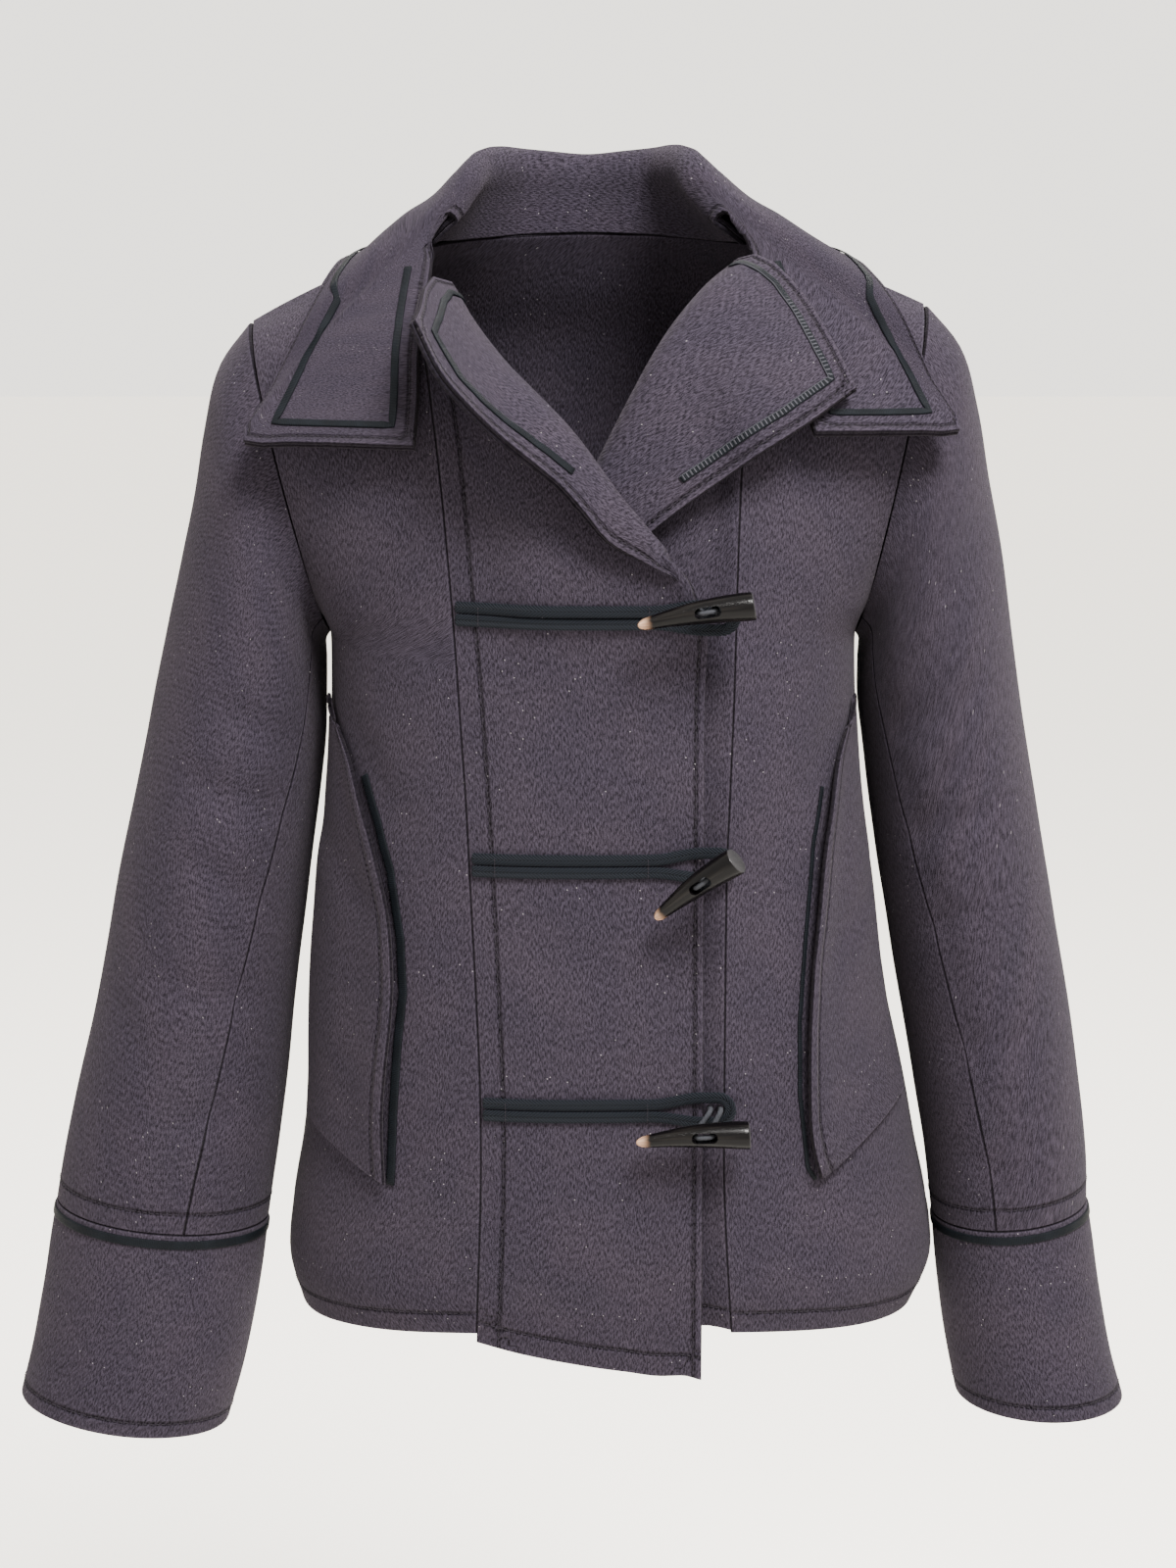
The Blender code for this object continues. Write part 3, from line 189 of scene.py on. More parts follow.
# The right front bulges over the other lapel, and hangs lower towards its corner
BULGE, BULGE_TOP_Z, BULGE_END_Z = 15.5 * MM, -0.155, -0.225
BULGE_X, BULGE_FULL_X = -0.066, -0.015
Drop = namedtuple("Drop", "x drop")
HEM_DROP = (Drop(-0.068, 0.004), Drop(0.000, 0.019), Drop(0.061, 0.027))
HEM_DROP_RUN = 0.10
# Collar: rows from the centre back to the front end of one half
Collar = namedtuple("Collar", "neck_x neck_y neck_z fold_x fold_y fold_z")
COLLAR = (
    Collar(0.000, 0.0645, 0.0037, 0.000, 0.0660, 0.0440),
    Collar(0.032, 0.0600, 0.0031, 0.030, 0.0610, 0.0460),
    Collar(0.056, 0.0450, 0.0020, 0.050, 0.0420, 0.0470),
    Collar(0.072, 0.0230, 0.0014, 0.060, 0.0200, 0.0430),
    Collar(0.079, 0.0020, 0.0020, 0.064, 0.0020, 0.0330),
    Collar(0.0810, -0.0025, 0.0020, 0.0670, -0.0040, 0.0235),
    Collar(0.0835, -0.0085, 0.0007, 0.0722, -0.0105, 0.0150),
)
# How far the fold's inner side lies inside of the fold line, at the same rows
COLLAR_LEAN = {
    RIGHT: (0.000, 0.002, 0.007, 0.008, 0.008, 0.006, 0.004),
    LEFT: (0.000, 0.004, 0.013, 0.016, 0.016, 0.012, 0.007),
}
Edge = namedtuple("Edge", "x y z")
COLLAR_EDGES = {
    RIGHT: (
        Edge(0.0000, 0.1180, -0.0900),
        Edge(0.0640, 0.1130, -0.0900),
        Edge(0.1080, 0.0850, -0.0720),
        Edge(0.1200, 0.0450, -0.0200),
        Edge(0.1360, -0.0300, -0.0280),
        Edge(0.1760, -0.0860, -0.0990),
        Edge(0.0880, -0.1120, -0.0990),
    ),
    LEFT: (
        Edge(0.0000, 0.1180, -0.0900),
        Edge(0.0640, 0.1130, -0.0900),
        Edge(0.1100, 0.0850, -0.0700),
        Edge(0.1300, 0.0450, -0.0180),
        Edge(0.1520, -0.0300, -0.0260),
        Edge(0.1900, -0.0820, -0.0940),
        Edge(0.1150, -0.1080, -0.0920),
    ),
}
COLLAR_ROWS = (0.0, 0.6, 1.2, 1.8, 2.4, 2.9, 3.4, 3.8, 4.2, 4.6, 5.0, 5.25, 5.5, 5.75, 6.0)
LAPEL_RIBBON_END_Z = -0.128
COLLAR_CLEAR = 5 * MM
# The roll: how far its top and its end lie out from the fold line, and how far the end lies below
ROLL_TOP, ROLL_OUT, ROLL_DROP = 3.5 * MM, 9 * MM, 6 * MM
LAPEL_CLEAR, LAPEL_REST_Z = 3.4 * MM, -0.115
# The left front sinks under the overlap over this run, below these heights
SINK_RUN, SINK_Z, SINK_FULL_Z = 8 * MM, -0.060, -0.110
# Above this height the way off the body at the roll line stays the same
ROLL_LEVEL_Z = -0.085
# Pockets: front edge on the panel, from the side seam at the top to the bottom corner
Point = namedtuple("Point", "x z")
POCKET_EDGES = {
    RIGHT: (
        Point(0.1355, -0.240), Point(0.1190, -0.274), Point(0.1110, -0.297), Point(0.1040, -0.321),
        Point(0.0990, -0.357), Point(0.0980, -0.385), Point(0.1010, -0.412), Point(0.1040, -0.450),
        Point(0.1060, -0.490),
    ),
    LEFT: (
        Point(0.1390, -0.240), Point(0.1240, -0.280), Point(0.1190, -0.308), Point(0.1150, -0.357),
        Point(0.1120, -0.402), Point(0.1130, -0.440), Point(0.1180, -0.480), Point(0.1220, -0.487),
    ),
}
POCKET_SIDE_Z = {RIGHT: (-0.236, -0.468), LEFT: (-0.236, -0.455)}
POCKET_SIDE_SHARE = 0.965
POCKET_FLARE, POCKET_GAP = 5 * MM, 1.5 * MM
# Fastening: each row is one strap with its toggle
Toggle = namedtuple("Toggle", "strap_z tip_x tip_z tip_off butt_x butt_z butt_off")
TOGGLES = (
    Toggle(-0.1835, 0.0250, -0.1853, 0.016, 0.0835, -0.1755, 0.0150),
    Toggle(-0.3135, 0.0345, -0.3380, 0.014, 0.0755, -0.3040, 0.0300),
    Toggle(-0.4430, 0.0250, -0.4560, 0.015, 0.0840, -0.4520, 0.0150),
)
LOOP_X, LOOP_RADIUS = 0.0678, 6.6 * MM
LEG_X = (0.0635, 0.0690)
HORN_BOW = 1.5 * MM
LANE_WIDE, LANE_THICK, LANE_APART = 6.0 * MM, 2.2 * MM, 6.6 * MM
SLOT_AT, SLOT_LONG, SLOT_WIDE = 0.60, 13.5 * MM, 5.6 * MM
CORD_RADIUS = 1.4 * MM


def hermite(start, end, leave, arrive, t):
    """The point at t on a curve from start to end that has these slopes at its ends."""
    curve = start + (end - start) * (3 * t**2 - 2 * t**3)
    return curve + leave * (t**3 - 2 * t**2 + t) + arrive * (t**3 - t**2)


def curve_through(points, keys, at):
    """A smooth curve through points that lie at these keys."""
    slopes = np.gradient(points, keys, axis=0)
    i = np.clip(np.searchsorted(keys, at, side="right") - 1, 0, len(keys) - 2)
    step = (keys[i + 1] - keys[i])[:, None]
    t = (at - keys[i])[:, None] / step
    return hermite(points[i], points[i + 1], slopes[i] * step, slopes[i + 1] * step, t)


def spline(keys, values, at):
    """A smooth curve through a table's values that never overshoots them."""
    keys, values = np.asarray(keys, float), np.asarray(values, float)
    secants = (np.diff(values, axis=0).T / np.diff(keys)).T
    before, after = secants[:-1], secants[1:]
    level = before * after <= 0
    inner = np.where(level, 0, 2 * before * after / np.where(level, 1, before + after))
    slopes = np.concatenate([secants[:1], inner, secants[-1:]])
    at = np.clip(np.asarray(at, float), keys[0], keys[-1])
    i = np.clip(np.searchsorted(keys, at, side="right") - 1, 0, len(keys) - 2)
    step = keys[i + 1] - keys[i]
    t = (at - keys[i]) / step
    return hermite(values[i].T, values[i + 1].T, slopes[i].T * step, slopes[i + 1].T * step, t).T


def row_at(rows, at):
    """A table's row at this place, between its own rows."""
    return spline(range(len(rows)), rows, at)


def smoothstep(low, high, value):
    t = np.clip((value - low) / (high - low), 0, 1)
    return t * t * (3 - 2 * t)


def unit(vector):
    vector = np.asarray(vector, float)
    return vector / np.maximum(np.linalg.norm(vector, axis=-1, keepdims=True), 1e-12)


def torso_rows(side, back):
    """The middle and the edge of each level of one quarter of the body, hem to shoulder."""
    hole = ARMHOLES[side]
    depth = hole.back if back else -hole.front
    rows = []
    for level in BODY:
        rows.append((level.y_back if back else level.y_front, level.z_mid,
                     level.x_left if side == LEFT else level.x_right, SIDE_Y, level.z_side, 0.0))
    for yoke in YOKE:
        turn = math.radians(yoke.angle)
        along = (1 + math.cos(turn)) / 2
        half = hole.pit_x + (hole.tip_x - hole.pit_x) * along
        z_edge = hole.pit_z + (hole.tip_z - hole.pit_z) * along
        y_mid = yoke.y_back if back else yoke.y_front
        rows.append((y_mid, yoke.z_mid, half, SIDE_Y + depth * math.sin(turn), z_edge, yoke.flat))
    return np.array(rows)


TORSO = {(side, back): torso_rows(side, back) for side in (RIGHT, LEFT) for back in (False, True)}
TOP = len(BODY) + len(YOKE) - 1
PIT = len(BODY)


def torso(side, back, share, level):
    """The point at a share of the way from the middle to the edge of a level."""
    y_mid, z_mid, half, y_edge, z_edge, flat = row_at(TORSO[side, back], level)
    power = 1 / SECTION_POWER + (1 - 1 / SECTION_POWER) * flat
    y = y_edge + (y_mid - y_edge) * max(0.0, 1 - share**SECTION_POWER) ** power
    z = z_edge + (z_mid - z_edge) * (1 - share**2)
    x = share * half
    if back:
        cut = smoothstep(TOP - 1, TOP, level)
        ring = max(0.0, 1 - (x / NECK_HALF) ** 2) ** 0.5
        neck_y = SIDE_Y + (NECK_BACK - SIDE_Y) * ring
        y += cut * (neck_y - y)
        z -= cut * 0.6 * max(0.0, z + 0.001)
    return np.array((side * x, y, z))


def share_at(turn, level, side, back=False):
    """Spaces the points evenly round a section: turn is 0 at its middle and 1 at its edge."""
    flat = row_at(TORSO[side, back], level)[5]
    rounded = math.sin(math.pi / 2 * turn) ** (2 / SECTION_POWER)
    return rounded + (turn - rounded) * flat


def turn_at(share, level, side):
    turns = np.linspace(0, 1, 80)
    return float(np.interp(share, [share_at(turn, level, side) for turn in turns], turns))


def level_at(x, z):
    """The level of the front at which it has this height, above this x."""
    side = LEFT if x > 0 else RIGHT
    levels = np.linspace(0, TOP, 240)
    rows = row_at(TORSO[side, False], levels)
    share = np.clip(abs(x) / rows[:, 2], 0, 1)
    heights = rows[:, 4] + (rows[:, 1] - rows[:, 4]) * (1 - share**2)
    return float(np.interp(z, heights, levels))


def front_point(x, z):
    side = LEFT if x > 0 else RIGHT
    level = level_at(x, z)
    half = row_at(TORSO[side, False], level)[2]
    return torso(side, False, min(1.0, abs(x) / half), level)


def front_normal(x, z, step=3 * MM):
    across = front_point(x + step, z) - front_point(x - step, z)
    up = front_point(x, z + step) - front_point(x, z - step)
    return unit(np.cross(across, up))


def seam_x(side, z):
    keys, right, left = np.array(BAND_SEAM).T
    return float(spline(keys, left if side == LEFT else right, z))


def normals_of(grid, closed=False):
    """Unit normals of a grid of points, rows by columns."""
    if closed:
        across = np.roll(grid, -1, axis=1) - np.roll(grid, 1, axis=1)
    else:
        across = np.gradient(grid, axis=1)
    along = np.gradient(grid, axis=0)
    return unit(np.cross(across, along))


# Fine cloth: the size of its cells, and the extra lines of points beside each edge
CELL = 4.2 * MM
JOIN_RUN = 40 * MM
# Keeps two points apart along a line where they lie in one place
KEY_STEP = 1e-7
EDGE_LINES = tuple(distance * MM for distance in (0.0, 0.30, 0.75, 1.35, 2.4))
ROUND_EDGE = 1.15 * MM
# How much of the half thickness is left at the very edge, on the face that shows and behind it
THIN_EDGE, FLAT_EDGE = 0.15, 0.75

# Soft folds of the cloth: each runs from one point to another, this wide and this deep
Fold = namedtuple("Fold", "start end width depth")
FOLDS = (
    Fold((-0.137, -0.062, -0.236), (-0.092, -0.128, -0.318), 0.0150, 0.0030),
    Fold((-0.142, -0.040, -0.300), (-0.108, -0.112, -0.352), 0.0130, 0.0020),
    Fold((0.143, -0.060, -0.240), (0.104, -0.122, -0.305), 0.0140, 0.0026),
    Fold((0.150, -0.030, -0.330), (0.128, -0.100, -0.372), 0.0120, 0.0018),
    Fold((-0.100, -0.118, -0.120), (-0.128, -0.090, -0.215), 0.0160, 0.0020),
    Fold((0.100, -0.118, -0.135), (0.130, -0.088, -0.222), 0.0150, 0.0018),
    Fold((-0.020, -0.130, -0.225), (0.028, -0.130, -0.268), 0.0140, 0.0014),
    Fold((-0.046, -0.130, -0.350), (0.040, -0.130, -0.378), 0.0180, 0.0012),
    Fold((-0.158, -0.055, -0.262), (-0.196, -0.075, -0.236), 0.0110, 0.0026),
    Fold((-0.160, -0.060, -0.300), (-0.218, -0.070, -0.276), 0.0130, 0.0032),
    Fold((-0.168, -0.062, -0.352), (-0.216, -0.074, -0.318), 0.0110, 0.0022),
    Fold((-0.176, -0.060, -0.404), (-0.232, -0.070, -0.388), 0.0140, 0.0022),
    Fold((-0.186, -0.060, -0.462), (-0.228, -0.070, -0.470), 0.0120, 0.0016),
    Fold((-0.262, -0.048, -0.398), (-0.236, -0.074, -0.438), 0.0130, 0.0016),
    Fold((0.160, -0.058, -0.258), (0.205, -0.072, -0.228), 0.0120, 0.0028),
    Fold((0.166, -0.060, -0.310), (0.220, -0.070, -0.292), 0.0130, 0.0030),
    Fold((0.176, -0.062, -0.366), (0.214, -0.072, -0.344), 0.0100, 0.0020),
    Fold((0.190, -0.060, -0.430), (0.240, -0.068, -0.418), 0.0140, 0.0022),
    Fold((0.196, -0.060, -0.490), (0.230, -0.068, -0.496), 0.0110, 0.0014),
    Fold((-0.060, 0.118, -0.110), (-0.078, 0.122, -0.330), 0.0240, 0.0024),
    Fold((0.052, 0.118, -0.090), (0.064, 0.122, -0.280), 0.0220, 0.0026),
    Fold((-0.128, 0.060, -0.235), (-0.070, 0.116, -0.300), 0.0160, 0.0026),
    Fold((0.132, 0.060, -0.240), (0.082, 0.114, -0.318), 0.0150, 0.0030),
    Fold((0.006, 0.124, -0.350), (-0.034, 0.126, -0.520), 0.0260, 0.0018),
    Fold((-0.160, 0.060, -0.290), (-0.226, 0.064, -0.268), 0.0130, 0.0030),
    Fold((-0.170, 0.058, -0.360), (-0.236, 0.058, -0.350), 0.0120, 0.0026),
    Fold((-0.190, 0.052, -0.440), (-0.240, 0.050, -0.424), 0.0130, 0.0020),
    Fold((0.162, 0.060, -0.285), (0.222, 0.064, -0.262), 0.0130, 0.0028),
    Fold((0.176, 0.058, -0.350), (0.232, 0.058, -0.346), 0.0110, 0.0024),
    Fold((0.196, 0.052, -0.440), (0.240, 0.050, -0.430), 0.0130, 0.0018),
    Fold((-0.100, -0.118, -0.520), (-0.084, -0.122, -0.400), 0.0200, 0.0016),
    Fold((0.118, -0.112, -0.545), (0.104, -0.116, -0.420), 0.0200, 0.0020),
    Fold((0.020, -0.134, -0.480), (0.034, -0.134, -0.580), 0.0180, 0.0014),
)
RIDGE = 0.45
# Slow unevenness of the cloth: size of the waves, and how high they are
Wave = namedtuple("Wave", "size height")
WAVES = (Wave(0.090, 0.9 * MM), Wave(0.034, 0.28 * MM))


def relief(points):
    """How far the folds and the cloth's own unevenness move each point along its normal."""
    flat = points.reshape(-1, 3)
    moved = np.zeros(len(flat))
    for fold in FOLDS:
        start, end = np.array(fold.start), np.array(fold.end)
        run = end - start
        share = np.clip((flat - start) @ run / (run @ run), 0, 1)
        away = np.linalg.norm(flat - (start + share[:, None] * run), axis=1) / fold.width
        tapered = np.sin(np.pi * np.clip(share * 0.86 + 0.07, 0, 1)) ** 0.8
        moved -= fold.depth * tapered * (1 - RIDGE * away**2) * np.exp(-away**2)
    for wave in WAVES:
        moved += wave.height * np.array([noise.noise(Vector(point / wave.size)) for point in flat])
    return moved.reshape(points.shape[:-1])


def lengths(points):
    """How far along each line of points every point lies."""
    steps = np.linalg.norm(np.diff(points, axis=0), axis=-1)
    return np.concatenate([np.zeros((1,) + steps.shape[1:]), np.cumsum(steps, axis=0)])


def stations(keys, counts, edges):
    """Where fine points lie along a line of cloth: each entry is a cell and a place in it."""
    found = []
    for cell, count in enumerate(counts):
        low, high = keys[cell], keys[cell + 1]
        fit = min(1.0, 0.8 * (high - low) / EDGE_LINES[-1])
        before, after = [low], []
        if edges and cell == 0:
            before = [low + line * fit for line in EDGE_LINES]
        if edges and cell == len(counts) - 1:
            after = [high - line * fit for line in EDGE_LINES[:0:-1]]
        last = after[0] if after else high
        inner = np.linspace(before[-1], last, count + 1)[1:] if count > 1 else [last]
        places = before + [place for place in inner if place < last - 1e-9] + after
        found += [(cell, place) for place in places]
    if edges:
        found.append((len(counts) - 1, keys[-1]))
    return found


def refine(grid, closed=False):
    """The same sheet with fine points along its first axis. Values beyond x, y, z go along."""
    count = len(grid)
    if closed:
        grid = np.concatenate([grid[-2:], grid, grid[:3]])
    mean = np.linalg.norm(np.diff(grid[..., :3], axis=0), axis=-1).mean(axis=1)
    first, cells = (2, count) if closed else (0, count - 1)
    counts = [max(1, round(mean[first + cell] / CELL)) for cell in range(cells)]
    lines = []
    for column in range(grid.shape[1]):
        line = grid[:, column]
        keys = lengths(line[:, :3]) + np.arange(len(line)) * KEY_STEP
        slopes = np.gradient(line, keys, axis=0)
        found = stations(keys[first:first + cells + 1], counts, not closed)
        coarse = [cell for cell, _ in found]
        cell = np.array(coarse) + first
        step = (keys[cell + 1] - keys[cell])[:, None]
        t = (np.array([place for _, place in found]) - keys[cell])[:, None] / step
        lines.append(hermite(line[cell], line[cell + 1], slopes[cell] * step, slopes[cell + 1] * step, t))
    return np.stack(lines, axis=1), coarse


Cloth = namedtuple("Cloth", "grid normals outer inner whole")
Fine = namedtuple("Fine", "points normals across down half offset used")
FINE = {}


def mesh_piece(name, points, faces, look, node=None, slot=None, uvs=None, values=()):
    """A piece that rides on the body, stands for its node and carries what its material reads."""
    mesh = bpy.data.meshes.new(name)
    mesh.from_pydata(np.asarray(points).tolist(), [], faces)
    mesh.shade_smooth()
    mesh.materials.append(LOOKS[look])
    for title, numbers in values:
        mesh.attributes.new(title, "FLOAT", "POINT").data.foreach_set("value", np.ravel(numbers))
    if uvs is not None:
        layer = mesh.uv_layers.new(name="grain")
        corners = np.empty(len(mesh.loops), np.int32)
        mesh.loops.foreach_get("vertex_index", corners)
        layer.data.foreach_set("uv", np.asarray(uvs)[corners].ravel())
    made = bpy.data.objects.new(name, mesh)
    bpy.context.scene.collection.objects.link(made)
    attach(made, "root")
    if node:
        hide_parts(node)
    return made


def closed_faces(cells, count, halved=False):
    """The faces of a wall: its two sheets, the second one's points this many on, and its edges."""
    def parts(quads):
        return [half for a, b, c, d in quads for half in ((a, b, c), (a, c, d))] if halved else list(quads)

    sheet = parts(cells)
    sides = dict.fromkeys((cell[i], cell[(i + 1) % 4]) for cell in cells for i in range(4))
    edges = [(end, start, start + count, end + count) for start, end in sides if (end, start) not in sides]
    return sheet + [tuple(count + i for i in reversed(face)) for face in sheet] + parts(edges)


def cells_of(kept, columns):
    """The corners of each kept cell, by the numbers of its points."""
    cells = []
    for row, column in np.argwhere(kept).tolist():
        after = (column + 1) % columns
        cells.append((row * columns + column, row * columns + after,
                      (row + 1) * columns + after, (row + 1) * columns + column))
    return cells


def border_distance(across, down, used, closed):
    """How far each point lies from the nearest edge of its cloth."""
    reach = np.full(across.shape, np.inf)
    for lines, marks, out in ((across, used, reach), (down.T, used.T, reach.T)):
        if closed and lines is across:
            continue
        for line, mark, found in zip(lines, marks, out):
            spots = np.flatnonzero(mark)
            if len(spots):
                found[:] = np.minimum(found, np.minimum(line - line[spots[0]], line[spots[-1]] - line))
    return np.maximum(reach, 0)


def shown_face(name):
    """The face of the cloth that shows: the lapels' facings are turned over."""
    return -1 if name.startswith("facing") else 1


def groove_values(name, fine):
    """How far each point lies from the nearest stitched line of its cloth, with a sign."""
    reaches = {"first": fine.across, "last": fine.across[:, -1:] - fine.across,
               "low": fine.down, "high": fine.down[-1:] - fine.down}
    found = np.full(fine.across.shape, 1.0)
    for border, distance in STITCHED.get(name, {}).items():
        away = reaches[border] - distance
        found = np.where(np.abs(away) < np.abs(found), away, found)
    return found


def declare(fine, closed):
    """Works out the longest runs of the cloth across and down, from its own lengths, and does nothing more
    with them.
    """
    points = fine.points
    spans = []
    for lines, marks in ((fine.across, fine.used), (fine.down.T, fine.used.T)):
        runs = [line[mark][-1] - line[mark][0] for line, mark in zip(lines, marks) if mark.any()]
        spans.append(float(max(runs)))
    if closed:
        spans[0] += float(np.linalg.norm(points[:, 0] - points[:, -1], axis=-1).max())


def joined(points, word):
    """A band's fine points, with its seam brought onto the edge of the front beside it."""
    seam, beyond, sign = (0, -1, 1) if word == "right" else (-1, 0, -1)
    edge = FINE[f"front_{word}"].points[:, beyond]
    start = points[:, seam]
    z = np.clip(start[:, 2], edge[0, 2], edge[-1, 2])
    moved = np.stack([np.interp(z, edge[:, 2], edge[:, i]) - np.interp(z, start[:, 2], start[:, i])
                      for i in (0, 1)], axis=1)
    moved[:, 0] += sign * SEAM_GAP
    away = lengths(points.transpose(1, 0, 2)).T
    away = away if word == "right" else away[:, -1:] - away
    points = points.copy()
    points[..., :2] += moved[:, None] * (1 - smoothstep(0, JOIN_RUN, away))[..., None]
    return points


def wall(name, grid, thickness=CLOTH, offset=0.0, closed=False, keep=None, normals=None):
    """Lays fine cloth on a grid of points, and keeps the plain sheet for other cloth to lie on.

    Where keep is given, it says for each cell of the grid whether there is cloth.
    """
    if normals is None:
        normals = normals_of(grid, closed)
    rows, columns = grid.shape[:2]
    outer = (grid + normals * (offset + thickness / 2)).reshape(-1, 3)
    inner = (grid + normals * (offset - thickness / 2)).reshape(-1, 3)
    plain = np.ones((rows - 1, columns if closed else columns - 1), bool) if keep is None else keep
    solid = closed_faces(cells_of(plain, columns), rows * columns, halved=True)
    whole = BVHTree.FromPolygons(np.concatenate([outer, inner]).tolist(), solid)
    values, coarse_rows = refine(np.concatenate([grid, normals], axis=2))
    values, coarse_columns = refine(values.transpose(1, 0, 2), closed)
    values = values.transpose(1, 0, 2)
    points, fine_normals = values[..., :3], unit(values[..., 3:])
    points = points + fine_normals * relief(points)[..., None]
    if name.startswith("band"):
        points = joined(points, name.split("_")[1])
    fine_columns = points.shape[1]
    kept = plain[np.ix_(coarse_rows[:len(points) - 1], coarse_columns[:fine_columns if closed else -1])]
    used = np.zeros(points.shape[:2], bool)
    for row, column in itertools.product((0, 1), (0, 1)):
        spots = np.argwhere(kept) + (row, column)
        used[spots[:, 0], spots[:, 1] % fine_columns] = True
    across, down = lengths(points.transpose(1, 0, 2)).T, lengths(points)
    border = border_distance(across, down, used, closed)
    profile = np.sqrt(np.maximum(0, 1 - (1 - np.minimum(border / ROUND_EDGE, 1)) ** 2))
    half = thickness / 2 * np.maximum(profile, THIN_EDGE)
    behind = thickness / 2 * np.maximum(profile, FLAT_EDGE)
    faces_half = {shown_face(name): half, -shown_face(name): behind}
    top, bottom = (points + fine_normals * (offset + sign * faces_half[sign])[..., None]
                   for sign in (1, -1))
    fine = FINE[name] = Fine(points, fine_normals, across, down, half, offset, used)
    cells, count = cells_of(kept, fine_columns), points.shape[0] * fine_columns
    marked = np.flatnonzero(used.ravel())
    place = np.full(2 * count, -1)
    place[marked], place[marked + count] = np.arange(len(marked)), np.arange(len(marked)) + len(marked)
    faces = [tuple(place[list(face)].tolist()) for face in closed_faces(cells, count)]
    both = np.concatenate([marked, marked + count])
    uvs = np.stack([across, down], axis=-1).reshape(-1, 2)
    made = mesh_piece(f"{name}_cloth", np.concatenate([top.reshape(-1, 3), bottom.reshape(-1, 3)])[both],
                      faces, "wool", name, uvs=np.concatenate([uvs, uvs])[both],
                      values=(("edge", np.tile(border.ravel(), 2)[both]),
                              ("groove", np.tile(groove_values(name, fine).ravel(), 2)[both])))
    declare(fine, closed)
    faces_out, faces_in = (BVHTree.FromPolygons(side.reshape(-1, 3).tolist(), cells)
                           for side in (top, bottom))
    return Cloth(grid, normals, faces_out, faces_in, whole)


def front_panel(side):
    """The side front, from the band seam to the side seam and the armhole."""
    levels = np.concatenate([np.linspace(0, PIT, 11), np.linspace(PIT + 0.6, TOP, 9)])
    grid = []
    for level in levels:
        z = torso(side, False, 0.45, level)[2]
        half = row_at(TORSO[side, False], level)[2]
        first = turn_at((seam_x(side, z) + SEAM_GAP) / half, level, side)
        last = 1 - SEAM_GAP
        grid.append([torso(side, False, share_at(first + (last - first) * turn, level, side), level)
                     for turn in np.linspace(0, 1, 9)])
    grid = np.array(grid)[:, ::side]
    grid[-1, :, 1] -= SEAM_GAP
    normals = normals_of(grid)
    normals[-1, :, 1] = 0
    normals[levels <= PIT, -1 if side == LEFT else 0, 1] = 0
    return wall(f"front_{WORDS[side]}", grid, normals=unit(normals))


def back_panel():
    levels = np.concatenate([np.linspace(0, PIT, 10), np.linspace(PIT + 0.8, TOP, 8)])
    turns = np.linspace(1, -1, 21) * (1 - SEAM_GAP)
    sides = [LEFT if turn > 0 else RIGHT for turn in turns]
    grid = np.array([[torso(side, True, share_at(abs(turn), level, side, True), level)
                      for turn, side in zip(turns, sides)] for level in levels])
    grid[-1, :, 1] += SEAM_GAP
    normals = normals_of(grid)
    normals[-1, np.abs(grid[-1, :, 0]) > NECK_HALF, 1] = 0
    normals[levels <= PIT, 0, 1] = normals[levels <= PIT, -1, 1] = 0
    return wall("back", grid, normals=unit(normals))


def hem_drop(x, z):
    low = z - BODY[0].z_mid
    return float(spline(*np.array(HEM_DROP).T, x)) * max(0.0, 1 - low / HEM_DROP_RUN)


def band_lift(side, x, z):
    """How far the band stands in front of the body: over the other lapel, or under the overlap."""
    if side == RIGHT:
        high = smoothstep(BULGE_END_Z, BULGE_TOP_Z, z)
        return BULGE * high * smoothstep(BULGE_X, BULGE_FULL_X, x)
    start = seam_x(side, z) - 1 * MM
    return -UNDER_FRONT * smoothstep(start, start - SINK_RUN, x) * smoothstep(SINK_Z, SINK_FULL_Z, z)


def band_point(side, x, z):
    point = front_point(x, z)
    point = point + front_normal(x, z) * band_lift(side, x, z)
    return point - (0, 0, hem_drop(x, z)) if side == RIGHT else point


def roll_of(side, z):
    rows = np.array(ROLLS[side])
    return Roll(z, *spline(rows[:, 0], rows[:, 1:], z))


def lapel_frame(side, z, span=8 * MM):
    """At the roll line: its point, the way out over it, and the way off the body."""
    top = ROLLS[side][-1].z
    heights = (z, min(z + span, top), min(z, top - span) - span)
    here, above, below = (band_point(side, roll_of(side, height).x, height) for height in heights)
    down = unit(below - above)
    out = front_normal(roll_of(side, z).x, min(z, ROLL_LEVEL_Z))
    out = unit(out - down * np.dot(out, down))
    over = np.cross(down, out)
    return here, over if over[0] * side < 0 else -over, out


def lapel_row(side, z, arc_steps=3, flat_steps=4):
    """From the roll line round the fold and out to the lapel's edge."""
    roll = roll_of(side, z)
    here, over, out = lapel_frame(side, z)
    bend = max(1e-4, math.radians(roll.turn))
    radius = roll.arc / bend
    points = []
    for step in range(1, arc_steps + 1):
        angle = bend * step / arc_steps
        points.append(here + over * radius * math.sin(angle) + out * radius * (1 - math.cos(angle)))
    ahead = over * math.cos(bend) + out * math.sin(bend)
    if roll.turn < 1:
        edge = band_point(side, roll.edge_x, z)
    else:
        lift = max(roll.stand, band_lift(side, roll.edge_x, roll.edge_z))
        edge = front_point(roll.edge_x, roll.edge_z) - np.array((0, lift, 0))
    start, reach = points[-1], np.linalg.norm(edge - points[-1])
    for step in range(1, flat_steps + 1):
        points.append(hermite(start, edge, ahead * reach, edge - start, step / flat_steps))
    return points


